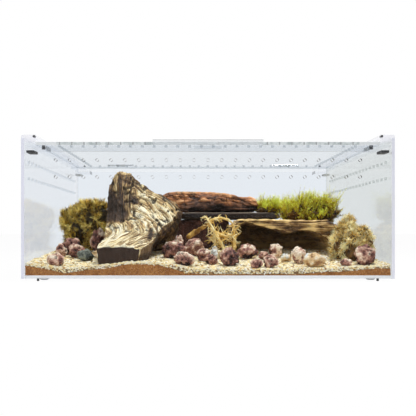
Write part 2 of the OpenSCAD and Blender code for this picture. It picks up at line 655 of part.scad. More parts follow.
// Roots stand on the gravel in front of the hide's left leg.
// Points are [x from the hide's left side, depth, height]; the last two numbers are the end diameters.
roots = [
    [[-6, 112, 29.2], [-14, 113, 55], [-30, 118, 80], [-44, 126, 93], 6, 3],
    [[-8, 112, 38], [-20, 110, 60], [-34, 113, 92], [-48, 118, 108], 5, 2.5],
    [[5, 126, 30.6], [14, 126, 50], [8, 130, 75], [5, 135, 95], 7, 4],
    [[-42, 122, 91], [-25, 126, 110], [-5, 128, 104], [6, 134, 93], 5, 4],
    [[-30, 115, 80], [-18, 122, 66], [-4, 126, 72], [8, 128, 66], 5, 4],
    [[-17, 121, 28.8], [-29, 121, 44], [-30, 123, 56], [-25, 124, 68], 4, 3],
    [[-82, 176, 66], [-66, 182, 74], [-52, 166, 82], [-43, 125, 92], 11, 6]
];

module dried_roots() color([0.8, 0.68, 0.4]) laid() translate([hide_x, 0, 0])
    for (r = roots) stick([r[0], r[1], r[2], r[3]], r[4], r[5]);

// ---- the whole terrarium ----

base_panel();
side_panel(-1);  // left_side_panel
side_panel(1);  // right_side_panel
front_panel();
back_panel();
rear_top_panel();
top_strip(-1);  // left_top_strip
top_strip(1);  // right_top_strip
rail_spacer(-1);  // left_rail_spacer
rail_spacer(1);  // right_rail_spacer
rail_cap(-1);  // left_rail_cap
rail_cap(1);  // right_rail_cap
rail_plugs();
front_header();
header_catch();
front_corner_blocks();
rear_corner_blocks();
corner_pads();
magnets(lid_z - magnet_t);  // frame_magnets
lid_panel();
lid_handle();
magnets(lid_z);  // lid_magnets
hinge_leaf(-hinge_x, 1, frame_knuckles);  // left_hinge_frame_leaf
hinge_leaf(hinge_x, 1, frame_knuckles);  // right_hinge_frame_leaf
hinge_leaf(-hinge_x, -1, lid_knuckles);  // left_hinge_lid_leaf
hinge_leaf(hinge_x, -1, lid_knuckles);  // right_hinge_lid_leaf
hinge_pin(-hinge_x);  // left_hinge_pin
hinge_pin(hinge_x);  // right_hinge_pin
bumper_feet();
locating_pegs();
soil_layer();
gravel_bed();
driftwood();
bark_hide();
support_stone();
dark_slab();
bark_slab();
left_lava_rocks();
middle_lava_rocks();
right_lava_rocks();
grey_stones();
pale_stones();
left_moss();
ridge_moss();
slab_moss();
tan_moss();
dried_roots();
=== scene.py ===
import math

import bpy
import numpy as np
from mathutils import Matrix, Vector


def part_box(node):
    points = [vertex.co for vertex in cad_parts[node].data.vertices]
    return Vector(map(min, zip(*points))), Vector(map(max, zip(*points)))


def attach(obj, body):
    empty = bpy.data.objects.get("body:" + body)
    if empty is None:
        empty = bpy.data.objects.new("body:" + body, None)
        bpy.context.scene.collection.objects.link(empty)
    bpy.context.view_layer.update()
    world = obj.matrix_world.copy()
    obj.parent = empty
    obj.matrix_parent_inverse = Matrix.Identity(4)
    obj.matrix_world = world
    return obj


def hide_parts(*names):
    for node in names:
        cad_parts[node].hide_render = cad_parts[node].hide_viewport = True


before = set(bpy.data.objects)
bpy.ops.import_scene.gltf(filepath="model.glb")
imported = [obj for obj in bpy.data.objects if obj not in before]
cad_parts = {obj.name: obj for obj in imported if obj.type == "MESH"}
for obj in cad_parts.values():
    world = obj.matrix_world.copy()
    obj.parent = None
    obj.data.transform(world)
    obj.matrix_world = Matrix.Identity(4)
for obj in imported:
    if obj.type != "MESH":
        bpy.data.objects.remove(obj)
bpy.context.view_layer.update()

# ---- White sweep, lamps and camera ----
# The tank stands on a plain white surface in a bright studio. The light is soft and comes mostly from above,
# and the camera looks level at the front wall, a little left of its middle.
CAMERA_PLACE = (-0.0298, -1.193, 0.0866)
LENS_MM = 50.2
VIEW_SHIFT = (0.0433, 0.0505)
AMBIENT_LEVEL = 0.34
CLEAR_LAYERS = 32    # a sight line through a corner crosses more clear faces than the default of 8


def add_object(name, data, location=(0, 0, 0), rotation=(0, 0, 0)):
    thing = bpy.data.objects.new(name, data)
    bpy.context.scene.collection.objects.link(thing)
    thing.location = location
    thing.rotation_euler = rotation
    return thing


lens = bpy.data.cameras.new("camera")
lens.lens = LENS_MM
lens.shift_x, lens.shift_y = VIEW_SHIFT
bpy.context.scene.camera = add_object("camera", lens, CAMERA_PLACE, (math.pi / 2, 0, 0))
bpy.context.scene.view_settings.view_transform = "Standard"
bpy.context.scene.cycles.transparent_max_bounces = CLEAR_LAYERS


def lamp(name, place, aim, size, power):
    """A square area lamp at one place that faces another."""
    data = bpy.data.lights.new(name, "AREA")
    data.size, data.energy = size, power
    thing = add_object(name, data, place)
    toward = Vector(aim) - Vector(place)
    thing.rotation_euler = toward.to_track_quat("-Z", "Y").to_euler()


lamp("top_lamp", (0.3, -0.15, 1.4), (0, 0, 0.05), 0.4, 24.0)
lamp("front_lamp", (-0.9, -1.6, 0.9), (0, 0, 0.1), 0.9, 6.0)


class Value:
    """A shader socket that takes part in plain arithmetic. Each operation adds its Math node."""

    def __init__(self, tree, socket):
        self.tree, self.socket = tree, socket

    def math(self, operation, *values):
        made = self.tree.nodes.new("ShaderNodeMath")
        made.operation = operation
        for place, value in zip(made.inputs, values):
            feed(self.tree, place, value)
        return Value(self.tree, made.outputs[0])

    def __add__(self, other):
        return self.math("ADD", self, other)

    def __radd__(self, other):
        return self.math("ADD", other, self)

    def __sub__(self, other):
        return self.math("SUBTRACT", self, other)

    def __rsub__(self, other):
        return self.math("SUBTRACT", other, self)

    def __mul__(self, other):
        return self.math("MULTIPLY", self, other)

    def __rmul__(self, other):
        return self.math("MULTIPLY", other, self)

    def __abs__(self):
        return self.math("ABSOLUTE", self)

    def at_most(self, other):
        return self.math("MINIMUM", self, other)

    def at_least(self, other):
        return self.math("MAXIMUM", self, other)

    def share(self):
        """The value held between 0 and 1."""
        return self.at_least(0.0).at_most(1.0)


def feed(tree, place, value):
    """Links a Value to a socket, or writes a plain number, vector or colour into it."""
    if isinstance(value, Value):
        tree.links.new(value.socket, place)
    elif isinstance(value, tuple) and place.type == "RGBA" and len(value) == 3:
        place.default_value = (*value, 1)
    else:
        place.default_value = value


def shade(red, green, blue):
    """A colour as it is seen on screen, from 0 to 255, as the linear colour that a shader takes.

    Up to 10 it is c / 255 / 12.92, and above that ((c / 255 + 0.055) / 1.055) to the power of 2.4.
    """
    return tuple(c / 255 / 12.92 if c <= 10 else ((c / 255 + 0.055) / 1.055) ** 2.4
                 for c in (red, green, blue))


class Finish:
    """One material, built node by node."""

    def __init__(self, name):
        self.material = bpy.data.materials.new(name)
        self.material.use_nodes = True
        self.tree = self.material.node_tree
        self.tree.nodes.clear()

    def node(self, kind, inputs=None, out=0, **settings):
        """Adds a node of this kind: first its settings, then the values or links of its sockets."""
        made = self.tree.nodes.new("ShaderNode" + kind)
        for key, value in settings.items():
            setattr(made, key, value)
        for key, value in (inputs or {}).items():
            feed(self.tree, made.inputs[key], value)
        return Value(self.tree, made.outputs[out])

    def along(self, axis, of="Object"):
        """Where a point lies along one axis or, of "Normal", how far its surface faces that way."""
        return self.node("SeparateXYZ", {0: self.node("TexCoord", out=of)}, axis)

    def stretched(self, scale):
        """Object coordinates, drawn out along an axis by a scale below 1 and pressed by one above it."""
        return self.node("Mapping", {"Vector": self.node("TexCoord", out="Object"), "Scale": scale})

    def noise(self, size, detail=4.0, vector=None, rough=0.55):
        """Noise from 0 to 1 whose coarsest lumps have this size in metres."""
        return self.node("TexNoise", {"Vector": vector or self.node("TexCoord", out="Object"),
                                      "Scale": 1 / size, "Detail": detail, "Roughness": rough})

    def cells(self, size, out="Distance"):
        """Distance to the nearest of scattered points this far apart in metres, or that point's colour."""
        place = self.node("TexCoord", out="Object")
        return self.node("TexVoronoi", {"Vector": place, "Scale": 1 / size}, out)

    def ramp(self, value, *stops):
        """The colour for a value. A stop is a place from 0 to 1, then red, green and blue as on screen."""
        colours = self.node("ValToRGB", {"Fac": value})
        elements = colours.socket.node.color_ramp.elements
        while len(elements) < len(stops):
            elements.new(0.5)
        for element, (place, *colour) in zip(elements, stops):
            element.position, element.color = place, (*shade(*colour), 1)
        return colours

    def mix(self, factor, first, second):
        return self.node("Mix", {0: factor, 6: first, 7: second}, 2, data_type="RGBA", clamp_factor=True)

    def field(self, name):
        """A number that the mesh carries at each point."""
        return self.node("Attribute", None, "Fac", attribute_name=name)

    def bump(self, height, depth):
        return self.node("Bump", {"Height": height, "Distance": depth})

    def close(self, shader):
        out = self.tree.nodes.new("ShaderNodeOutputMaterial")
        feed(self.tree, out.inputs["Surface"], shader)
        return self.material

    def solid(self, **sockets):
        """Closes the material with one Principled shader. Underscores in names stand for spaces."""
        return self.close(self.node("BsdfPrincipled", {k.replace("_", " "): v for k, v in sockets.items()}))


def seen(tree):
    """1 on rays that carry a view, straight or by way of shiny and clear things, and 0 on light's rays."""
    path = tree.nodes.new("ShaderNodeLightPath")
    straight, shiny, clear = (Value(tree, path.outputs[f"Is {kind} Ray"])
                              for kind in ("Camera", "Glossy", "Transmission"))
    return straight.at_least(shiny).at_least(clear)


floor_mesh = bpy.data.meshes.new("floor")
floor_mesh.from_pydata([(-4, -3, 0), (4, -3, 0), (4, 9, 0), (-4, 9, 0)], [], [(0, 1, 2, 3)])
floor = add_object("floor", floor_mesh, (0, 0, -0.0002))
paper = Finish("white_sweep")
lit_paper = paper.node("BsdfDiffuse", {"Color": (0.88, 0.88, 0.88)})
white_paper = paper.node("Emission", {"Color": (1.0, 1.0, 1.0), "Strength": 1.0})
sweep = paper.node("MixShader", {0: seen(paper.tree) * 0.97, 1: lit_paper, 2: white_paper})
floor_mesh.materials.append(paper.close(sweep))

sky = bpy.data.worlds.new("studio")
bpy.context.scene.world = sky
sky.use_nodes = True
sky.node_tree.nodes.clear()
sky_light = sky.node_tree.nodes.new("ShaderNodeBackground")
feed(sky.node_tree, sky_light.inputs["Color"], (1.0, 1.0, 1.0))
feed(sky.node_tree, sky_light.inputs["Strength"], AMBIENT_LEVEL + seen(sky.node_tree) * (1 - AMBIENT_LEVEL))
sky_out = sky.node_tree.nodes.new("ShaderNodeOutputWorld")
sky.node_tree.links.new(sky_light.outputs[0], sky_out.inputs["Surface"])

# ---- Clear sheet ----
# Floor, walls, top strips and rails are sawn from 5 mm clear acrylic sheet and glued at their edges. The
# broad faces are almost invisible. The sawn edges and the drilled holes are frosted and look violet grey. The
# holes' walls are also painted with shade and light: dark grey, and near white where they face up.
SHEET_INDEX = 1.49
RIM_DEPTH = 0.0008    # sawn edges lie this close to the node's box, and holes' walls further in
MASK_SLOPE = 4000     # a mask goes from 0 to 1 within a quarter of a millimetre


def clear_sheet(node, thin_axis, tint, edge_colour, edge_cover, glare_share=0.22, hole_cover=0.5, marks=None,
                hidden_hole=0.0, mouth=None, shy=0.0):
    """Clear sheet that is thin along one axis (0, 1 or 2), with frosted sawn edges and hole walls.

    An edge is where the surface doesn't face along the thin axis. It is a hole's wall when it also lies away
    from the node's box. A hole's wall shows where the eye meets it through air, and less or not at all
    through the sheet. With a mouth, a length in metres, it shows only that far from the tank's inner side.
    Shy is the share by which edges that face sideways show less.
    """
    low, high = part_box(node)
    sheet = Finish("clear_" + node)
    edge = (1.25 - 1.5 * abs(sheet.along(thin_axis, "Normal"))).share()
    rims = []
    for axis in {0, 1, 2} - {thin_axis}:
        middle, half = (low[axis] + high[axis]) / 2, (high[axis] - low[axis]) / 2
        rims.append(((abs(sheet.along(axis) - middle) - (half - RIM_DEPTH)) * MASK_SLOPE).share())
    rim = edge * rims[0].at_least(rims[1])
    hole = edge - rim
    if mouth:
        inner = min(abs(low[thin_axis]), abs(high[thin_axis]))
        hole = hole * (1.0 - (abs(sheet.along(thin_axis)) - inner) * (1 / mouth)).at_least(0.0)
    saw = sheet.noise(0.0016, 2.0)
    # Painted light and shade in the drilled holes: a hole's wall is dark grey, and near white where it faces
    # up.
    hole_wall_shading = sheet.mix((sheet.along(2, "Normal") * 1.5).share(), shade(52, 58, 64), (0.95, 0.96, 0.98))
    rim_colour = sheet.mix(saw * 0.5, marks(sheet, edge_colour) if marks else edge_colour, (0.93, 0.94, 0.97))
    skin = sheet.mix(edge, (1.0, 1.0, 1.0), sheet.mix(rim, hole_wall_shading, rim_colour))
    scratches = sheet.noise(0.004, 2.0, sheet.stretched((1.0, 0.15, 0.15)))
    polished = sheet.node("BsdfPrincipled", {
        "Base Color": skin, "Metallic": 1.0 - edge, "Roughness": 0.02 + edge * 0.4 + scratches * 0.03,
        "Normal": sheet.bump(saw * edge, 0.0002)})
    glare = sheet.node("Fresnel", {"IOR": SHEET_INDEX})
    inside = sheet.node("NewGeometry", None, "Backfacing")
    rim_cover = rim * edge_cover * (1.0 - inside * 0.85) * (1.0 - abs(sheet.along(0, "Normal")) * shy)
    cover = (glare * (1.0 - edge) * glare_share + rim_cover
             + hole * hole_cover * (1.0 - inside * (1.0 - hidden_hole)))
    through = sheet.node("BsdfTransparent", {"Color": tint})
    return sheet.close(sheet.node("MixShader", {0: cover.at_most(1.0), 1: through, 2: polished}))


def dress(material, *names):
    """Gives CAD nodes a better material in place of their plain one."""
    for name in names:
        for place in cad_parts[name].material_slots:
            place.material = material


def dress_sheet(thin_axis, tint, edge_colour, edge_cover, *names, **more):
    """Gives each named node its own clear material, made for its own box."""
    for name in names:
        dress(clear_sheet(name, thin_axis, tint, edge_colour, edge_cover, **more), name)


violet_edge = shade(222, 224, 246)
grey_edge = shade(214, 219, 224)
dress_sheet(1, (0.985, 0.99, 0.995), shade(240, 241, 245), 0.5, "front_panel", glare_share=0.05,
            hole_cover=0.95, hidden_hole=0.8)
dress_sheet(1, (0.9, 0.92, 0.942), grey_edge, 0.06, "back_panel", glare_share=0.05)
dress_sheet(0, (0.912, 0.925, 0.94), violet_edge, 0.8, "left_side_panel", glare_share=0.24, hole_cover=0.3,
            mouth=0.0018)
dress_sheet(0, (0.867, 0.88, 0.874), violet_edge, 0.7, "right_side_panel", glare_share=0.24, hole_cover=0.3,
            mouth=0.0018)
dress_sheet(2, (0.97, 0.975, 0.98), shade(250, 250, 252), 0.85, "base_panel", glare_share=0.1)
dress_sheet(2, (0.93, 0.942, 0.955), grey_edge, 0.1, "rear_top_panel", glare_share=0.15)
dress_sheet(2, (0.955, 0.963, 0.972), grey_edge, 0.1, "left_top_strip", "right_top_strip", glare_share=0.15)
dress_sheet(2, (0.992, 0.993, 0.998), shade(226, 227, 242), 0.4, "left_rail_spacer", "right_rail_spacer",
            "left_rail_cap", "right_rail_cap", shy=0.75)
dress_sheet(1, (0.91, 0.92, 0.93), shade(190, 198, 204), 0.5, "front_header", "header_catch", glare_share=0.1)

# ---- Corner blocks, magnets and dark plugs ----
# Clear blocks are glued under the top at each corner, and magnets in the front ones hold the lid down. The
# magnets are small black-coated discs. Pads, plugs and pegs are moulded plastic, black except for the rear
# pads, which are light grey.
CLEAR_BLOCK = (0.97, 0.973, 0.98)
MOULDED_BLACK = (0.012, 0.012, 0.012)
dress_sheet(2, CLEAR_BLOCK, shade(246, 247, 252), 0.1, "front_corner_blocks", glare_share=0.05)
dress_sheet(2, CLEAR_BLOCK, grey_edge, 0.1, "rear_corner_blocks", glare_share=0.05)


def dark_finish(name, colour, rough, metal, grain):
    """Nearly black surface with a fine moulded or plated grain."""
    dark = Finish(name)
    speckle = dark.noise(grain, 3.0)
    rubbed = dark.noise(grain * 8, 2.0)
    return dark.solid(Base_Color=dark.mix(speckle, colour, tuple(c * 1.9 + 0.01 for c in colour)),
                      Roughness=rough + rubbed * 0.2, Metallic=metal, Normal=dark.bump(speckle, 0.0001))


dress(dark_finish("black_plastic", MOULDED_BLACK, 0.4, 0.0, 0.0008), "rail_plugs", "locating_pegs")
pad = Finish("corner_pad")
at_rear = (pad.along(1) * 40).share()
pad_speckle = pad.noise(0.0008, 3.0)
black_pad = pad.mix(pad_speckle, MOULDED_BLACK, (0.033, 0.033, 0.033))
grey_pad = pad.mix(pad_speckle, shade(168, 172, 172), shade(214, 216, 214))
dress(pad.solid(Base_Color=pad.mix(at_rear, black_pad, grey_pad), Roughness=0.4 + pad_speckle * 0.2,
                Normal=pad.bump(pad_speckle, 0.0001)), "corner_pads")
dress(dark_finish("coated_magnet", (0.014, 0.014, 0.017), 0.25, 0.3, 0.0006), "frame_magnets", "lid_magnets")

# ---- Lid, finger strip and hinges ----
# The lid is one sheet with a ring of drilled vents. A strip along its front edge is pulled to open it, and
# two clear moulded hinges with steel pins join it to the fixed rear part of the top.
VENT_STEP = 0.02028
FIRST_MARK = -0.2474
MARKS_REACH = 0.2515
LIP_LINE = 0.0014
HINGE_CLEAR = (0.97, 0.975, 0.98)


def painted_vent_reflections(sheet, edge_colour):
    """Painted reflections on the lid's front edge: the vents behind it show as dark ticks, grey-green
    between.
    """
    x = sheet.along(0)
    steps = (x - FIRST_MARK) * (1 / VENT_STEP)
    tick = (1.0 - abs(steps.math("FRACT", steps) - 0.06) * 14).at_least(0.0)
    within = ((MARKS_REACH - abs(x)) * MASK_SLOPE).share()
    between = sheet.ramp(sheet.noise(0.009, 3.0), (0.36, 120, 142, 140), (0.62, 214, 223, 222))
    return sheet.mix(within, edge_colour, sheet.mix(tick * 1.6, between, shade(46, 56, 58)))


dress_sheet(2, (0.895, 0.91, 0.922), shade(222, 227, 228), 0.85, "lid_panel", glare_share=0.05,
            hole_cover=0.12, marks=painted_vent_reflections, shy=0.85)


def painted_lip_shade(sheet, edge_colour):
    """Painted shade: the finger strip's upper edge shows as a dark line along the top of its face."""
    near_top = ((sheet.along(2) - (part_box("lid_handle")[1][2] - LIP_LINE)) * 3000).share()
    return sheet.mix(near_top, edge_colour, shade(40, 48, 50))


dress_sheet(2, HINGE_CLEAR, shade(214, 222, 226), 0.42, "lid_handle", marks=painted_lip_shade)
dress_sheet(2, HINGE_CLEAR, shade(224, 228, 232), 0.05, "left_hinge_frame_leaf", "right_hinge_frame_leaf",
            "left_hinge_lid_leaf", "right_hinge_lid_leaf", glare_share=0.04)
steel = Finish("pin_steel")
drawn = steel.noise(0.0007, 2.0, steel.stretched((0.1, 1.0, 1.0)))
dress(steel.solid(Base_Color=steel.mix(drawn, (0.82, 0.83, 0.85), (0.93, 0.94, 0.96)),
                  Metallic=1.0, Roughness=0.1 + drawn * 0.15), "left_hinge_pin", "right_hinge_pin")

# ---- Bumper feet ----
# Four soft clear domes are stuck under the floor near its corners and keep it off the table.
# They look like small grey lenses, because the light bends in them.
dome = Finish("clear_bumper")
dome_glare = dome.node("LayerWeight", {"Blend": 0.45}, "Facing")
dome_skin = dome.node("BsdfPrincipled", {
    "Base Color": dome.mix(dome.noise(0.004), shade(120, 128, 134), shade(226, 230, 234)),
    "Roughness": 0.12 + dome.noise(0.01) * 0.1})
dome_through = dome.node("BsdfTransparent", {"Color": (0.86, 0.88, 0.9)})
dress(dome.close(dome.node("MixShader", {0: dome_glare * 0.7 + 0.2, 1: dome_through, 2: dome_skin})),
      "bumper_feet")

# ---- Soil ----
# A layer of damp brown soil fills the floor. Its height changes only from left to right, as it shows at the
# glass, and fine crumbs of it lie against all four walls.
front_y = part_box("front_panel")[0].y * 1000
floor_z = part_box("base_panel")[0].z * 1000
WALL_X = 305.0
WALL_FRONT = 5.0
WALL_BACK = 462.0
GRID_MM = 3.0
GLASS_GAP = 0.3      # what is loose keeps this far from the glass
SOIL_UNDER = 5.15
CRUMBS = 3600
ANY_TURN = 6.28      # random turns range over this many radians
rng = np.random.default_rng(20)

SOIL_PROFILE = [[0, 21.5], [0.055, 16], [0.11, 8.5], [0.17, 14], [0.22, 16.5], [0.28, 23.5], [0.33, 23.5],
                [0.37, 22], [0.4, 17], [0.44, 9], [0.5, 7], [0.75, 7], [0.82, 10.5], [0.88, 11.5],
                [0.93, 15], [0.97, 17], [1, 16]]


def profile(table, x):
    """Straight-line value of a [share of the floor's width, height] table at x."""
    share, height = np.array(table, float).T
    return np.interp((x + WALL_X) / (2 * WALL_X), share, height)


def chance(places, seed):
    """A number from 0 to 1 that is fixed for each whole-number place: its bits multiplied and folded."""
    i, j, k = (places[..., a].astype(np.int64) for a in range(3))
    mixed = (i * 73856093) ^ (j * 19349663) ^ (k * 83492791) ^ (seed * 2654435761)
    mixed = mixed & 0xffffffff
    mixed = ((mixed ^ (mixed >> 15)) * 2246822519) & 0xffffffff
    mixed = ((mixed ^ (mixed >> 13)) * 3266489917) & 0xffffffff
    return (mixed ^ (mixed >> 16)) / 0xffffffff


def ripple(points, size, seed=0):
    """Smooth noise from -1 to 1: the chances at the corners of each cell, blended with 3t^2 - 2t^3."""
    scaled = points / size
    cell = np.floor(scaled)
    t = scaled - cell
    t = t * t * (3 - 2 * t)
    total = 0
    for corner in np.ndindex(2, 2, 2):
        corner = np.array(corner)
        total = total + np.prod(np.where(corner, t, 1 - t), axis=-1) * chance(cell + corner, seed)
    return 2 * total - 1


def rough(points, size, octaves=3, seed=0):
    """Ripples of halving size and halving height, added up."""
    return sum(ripple(points, size / 2 ** n, seed + n) / 2 ** n for n in range(octaves))


def rise(low, high, value):
    """Smooth step from 0 at low to 1 at high."""
    t = np.clip((value - low) / (high - low), 0, 1)
    return t * t * (3 - 2 * t)


def weave(rows, columns, loop=True):
    """Quads between neighbouring points of a grid. With loop, the last column joins the first."""
    i = np.arange(rows - 1)[:, None] * columns
    j = np.arange(columns if loop else columns - 1)[None, :]
    k = (j + 1) % columns
    return np.stack([i + j, i + k, i + columns + k, i + columns + j], -1).reshape(-1, 4)


def add_piece(name, points, faces, finish, slot, replaced=None, smooth=True, **fields):
    """Makes a mesh from points in tank millimetres and groups of faces, attaches it to the tank and hides
    the CAD node that it replaces.

    All faces are turned round where the volume that they enclose comes out negative.
    """
    corners = np.concatenate([f[:, [0, k, k + 1]] for f in faces if isinstance(f, np.ndarray)
                              for k in range(1, f.shape[1] - 1)])
    first, second, third = (points[corners[:, k]] - points.mean(0) for k in range(3))
    inside_out = np.einsum("ij,ij->", first, np.cross(second, third)) < 0
    listed = [list(f) for group in faces
              for f in (group.tolist() if isinstance(group, np.ndarray) else group)]
    mesh = bpy.data.meshes.new(name)
    mesh.from_pydata((points + [0, front_y, floor_z]) * 0.001, [],
                     [f[::-1] for f in listed] if inside_out else listed)
    for field, values in fields.items():
        numbers = mesh.attributes.new(field, "FLOAT", "POINT").data
        numbers.foreach_set("value", np.ascontiguousarray(values, np.float32))
    mesh.polygons.foreach_set("use_smooth", np.full(len(mesh.polygons), smooth))
    mesh.materials.append(finish)
    mesh.update()
    thing = add_object(name, mesh)
    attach(thing, "tank")
    if replaced:
        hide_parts(replaced)


def layer(low, high, rows, inset, seed):
    """A layer over the tank's floor between a lower height, which changes only across, and an upper one.

    The top is a grid over the floor. The sides are rows of the same outline between the two heights, pressed
    in by noise so that they never touch the glass. The underside is one strip of face to each grid column.
    """
    x = np.linspace(-WALL_X + inset, WALL_X - inset, round(2 * WALL_X / GRID_MM) + 1)
    d = np.linspace(WALL_FRONT + inset, WALL_BACK - inset, round((WALL_BACK - WALL_FRONT) / GRID_MM) + 1)
    nx, nd = len(x), len(d)
    gx, gd = np.meshgrid(x, d)
    top = np.stack([gx, gd, high(gx, gd)], -1)
    number = np.arange(nx * nd).reshape(nd, nx)
    outline = np.concatenate([number[0, :-1], number[:-1, -1], number[-1, :0:-1], number[:0:-1, 0]])
    edge = top.reshape(-1, 3)[outline]
    share = np.linspace(0, 1, rows + 1)[:-1, None]
    side_z = low(edge[:, 0]) * (1 - share) + edge[:, 2] * share
    side = np.stack([np.broadcast_to(edge[:, 0], side_z.shape), np.broadcast_to(edge[:, 1], side_z.shape),
                     side_z], -1)
    at_side = abs(edge[:, 0]) > WALL_X - inset - 0.01
    at_front = edge[:, 1] < WALL_FRONT + inset + 0.01
    at_back = edge[:, 1] > WALL_BACK - inset - 0.01
    inward = np.stack([at_side * -np.sign(edge[:, 0]), at_front * 1.0 - at_back, np.zeros(len(edge))], -1)
    press = 0.5 * abs(rough(side, 4.0, 3, seed)) * (share > 0)
    side = side + inward * press[..., None]
    points = np.concatenate([top.reshape(-1, 3), side.reshape(-1, 3)])
    base = nx * nd + np.arange(rows * len(outline)).reshape(rows, -1)
    rings = np.concatenate([base, outline[None]])
    after = np.roll(rings, -1, 1)
    walls = np.stack([rings[:-1], after[:-1], after[1:], rings[1:]], -1).reshape(-1, 4)
    front = base[0, :nx]
    back = base[0, nx - 1 + nd - 1:nx - 1 + nd - 1 + nx][::-1]
    under = np.stack([front[1:-2], back[1:-2], back[2:-1], front[2:-1]], -1)
    left = [front[0], *base[0, 2 * nx + nd - 3:][::-1], back[1], front[1]]
    right = [front[-2], back[-2], *base[0, nx - 1:nx + nd - 1][::-1]]
    return points, [weave(nd, nx, False), walls, under, [[int(v) for v in left], [int(v) for v in right]]]


def soil_top(x, d):
    return profile(SOIL_PROFILE, x)


soil_points, soil_faces = layer(lambda x: np.full_like(x, SOIL_UNDER), soil_top, 8, GLASS_GAP, 3)
earth = Finish("soil")
crumbs = earth.noise(0.0022, 6.0, None, 0.7)
damp = earth.noise(0.03, 3.0)
clods = earth.cells(0.0028)
earth_colour = earth.ramp(crumbs * 0.75 + damp * 0.25, (0.3, 92, 54, 28), (0.45, 150, 96, 50),
                          (0.6, 194, 138, 78), (0.75, 238, 192, 126))
earth_finish = earth.solid(Base_Color=earth_colour, Roughness=0.85 + crumbs * 0.15,
                           Normal=earth.bump(crumbs + clods * 0.6, 0.0012))
add_piece("soil", soil_points, soil_faces, earth_finish, "soil", "soil_layer", smooth=False)

ICO = (1 + 5 ** 0.5) / 2
CHIP_POINTS = np.array([[-1, ICO, 0], [1, ICO, 0], [-1, -ICO, 0], [1, -ICO, 0], [0, -1, ICO], [0, 1, ICO],
                        [0, -1, -ICO], [0, 1, -ICO], [ICO, 0, -1], [ICO, 0, 1], [-ICO, 0, -1], [-ICO, 0, 1]])
CHIP_POINTS = CHIP_POINTS / np.linalg.norm(CHIP_POINTS[0])
CHIP_FACES = np.array([[0, 11, 5], [0, 5, 1], [0, 1, 7], [0, 7, 10], [0, 10, 11], [1, 5, 9], [5, 11, 4],
                       [11, 10, 2], [10, 7, 6], [7, 1, 8], [3, 9, 4], [3, 4, 2], [3, 2, 6], [3, 6, 8],
                       [3, 8, 9], [4, 9, 5], [2, 4, 11], [6, 2, 10], [8, 6, 7], [9, 8, 1]])
CHIP_CORNERS = len(CHIP_POINTS)


def turned(turns):
    """Turning matrices about z, then x, then y, for rows of three angles."""
    (ca, cb, cc), (sa, sb, sc) = np.cos(turns).T, np.sin(turns).T
    none, one = np.zeros_like(ca), np.ones_like(ca)
    about_z = np.stack([ca, -sa, none, sa, ca, none, none, none, one], -1).reshape(-1, 3, 3)
    about_x = np.stack([one, none, none, none, cb, -sb, none, sb, cb], -1).reshape(-1, 3, 3)
    about_y = np.stack([cc, none, sc, none, one, none, -sc, none, cc], -1).reshape(-1, 3, 3)
    return about_z @ about_x @ about_y


def chips(centres, sizes, turns, jag=0.3):
    """Angular chips: one 20-sided form each, its corners moved in and out, stretched, turned and placed."""
    count = len(centres)
    form = CHIP_POINTS * (1 + jag * (rng.random((count, CHIP_CORNERS, 1)) - 0.5)) * sizes[:, None, :] / 2
    points = np.einsum("nij,nkj->nki", turned(turns), form) + centres[:, None, :]
    faces = (CHIP_FACES[None] + CHIP_CORNERS * np.arange(count)[:, None, None]).reshape(-1, 3)
    return points.reshape(-1, 3), faces


def along_walls(count, inset):
    """Random places along the four walls, at an inset from the glass."""
    wide, deep = 2 * (WALL_X - inset), WALL_BACK - WALL_FRONT - 2 * inset
    run = rng.random(count) * 2 * (wide + deep)
    side = np.searchsorted([wide, wide + deep, 2 * wide + deep], run, side="right")
    step = run - np.array([0, wide, wide + deep, 2 * wide + deep])[side]
    x = np.choose(side, [step - wide / 2, np.full(count, wide / 2),
                         wide / 2 - step, np.full(count, -wide / 2)])
    d = np.choose(side, [np.full(count, WALL_FRONT + inset), WALL_FRONT + inset + step,
                         np.full(count, WALL_BACK - inset), WALL_BACK - inset - step])
    return x, d


crumb_x, crumb_d = along_walls(CRUMBS, 1.1)
crumb_z = 5.9 + (soil_top(crumb_x, crumb_d) - 6.0) * rng.random(CRUMBS)
crumb_sizes = 0.7 + 0.9 * rng.random((CRUMBS, 3))
crumb_points, crumb_faces = chips(np.stack([crumb_x, crumb_d, crumb_z], -1), crumb_sizes,
                                  rng.random((CRUMBS, 3)) * ANY_TURN)
grain = Finish("soil_grain")
grain_finish = grain.solid(
    Base_Color=grain.ramp(grain.field("tone"), (0.0, 58, 33, 18), (0.5, 134, 82, 46), (0.8, 178, 122, 72),
                          (1.0, 226, 190, 138)),
    Roughness=0.9, Normal=grain.bump(grain.noise(0.0008), 0.0004))
add_piece("soil_grains", crumb_points, [crumb_faces], grain_finish, "soil", smooth=False,
          tone=np.repeat(rng.random(CRUMBS), CHIP_CORNERS))

# ---- Gravel ----
# Small split stone chips, cream to pale straw with a few brown ones, cover the soil. They thin out to one
# layer at the glass and climb towards the back.
GRAVEL_PROFILE = [[0, 25], [0.055, 21], [0.11, 17.5], [0.17, 20], [0.22, 23], [0.28, 27], [0.33, 27],
                  [0.39, 24], [0.44, 18], [0.5, 15], [0.75, 15], [0.82, 17], [0.9, 19.5], [0.96, 21], [1, 22]]
GROUND_BACK = 38.0
GROUND_RAMP = 200.0
MOUND_MM = 0.8
MOUND_PITCH = 72.0
SUNK = 3.0           # the wood's foot lies no deeper in the gravel
CHIP_BANDS = [(7, 130, 6200), (130, 290, 5200), (290, 460, 4200)]    # from this depth to that one, chips
RIM_CHIPS = 3000


def ground(x, d):
    """Height of the gravel: the profile at the glass climbs evenly to one level, with low mounds all over."""
    front = profile(GRAVEL_PROFILE, x)
    mound = MOUND_MM * np.sin(2 * np.pi * x / MOUND_PITCH) * np.sin(2 * np.pi * d / MOUND_PITCH)
    return front + (GROUND_BACK - front) * np.clip((d - WALL_FRONT) / GROUND_RAMP, 0, 1) + mound


def gravel_top(x, d):
    place = np.stack([x, d, 0 * x], -1)
    return ground(x, d) - 1.6 + 0.6 * rough(place, 14.0, 3, 5)


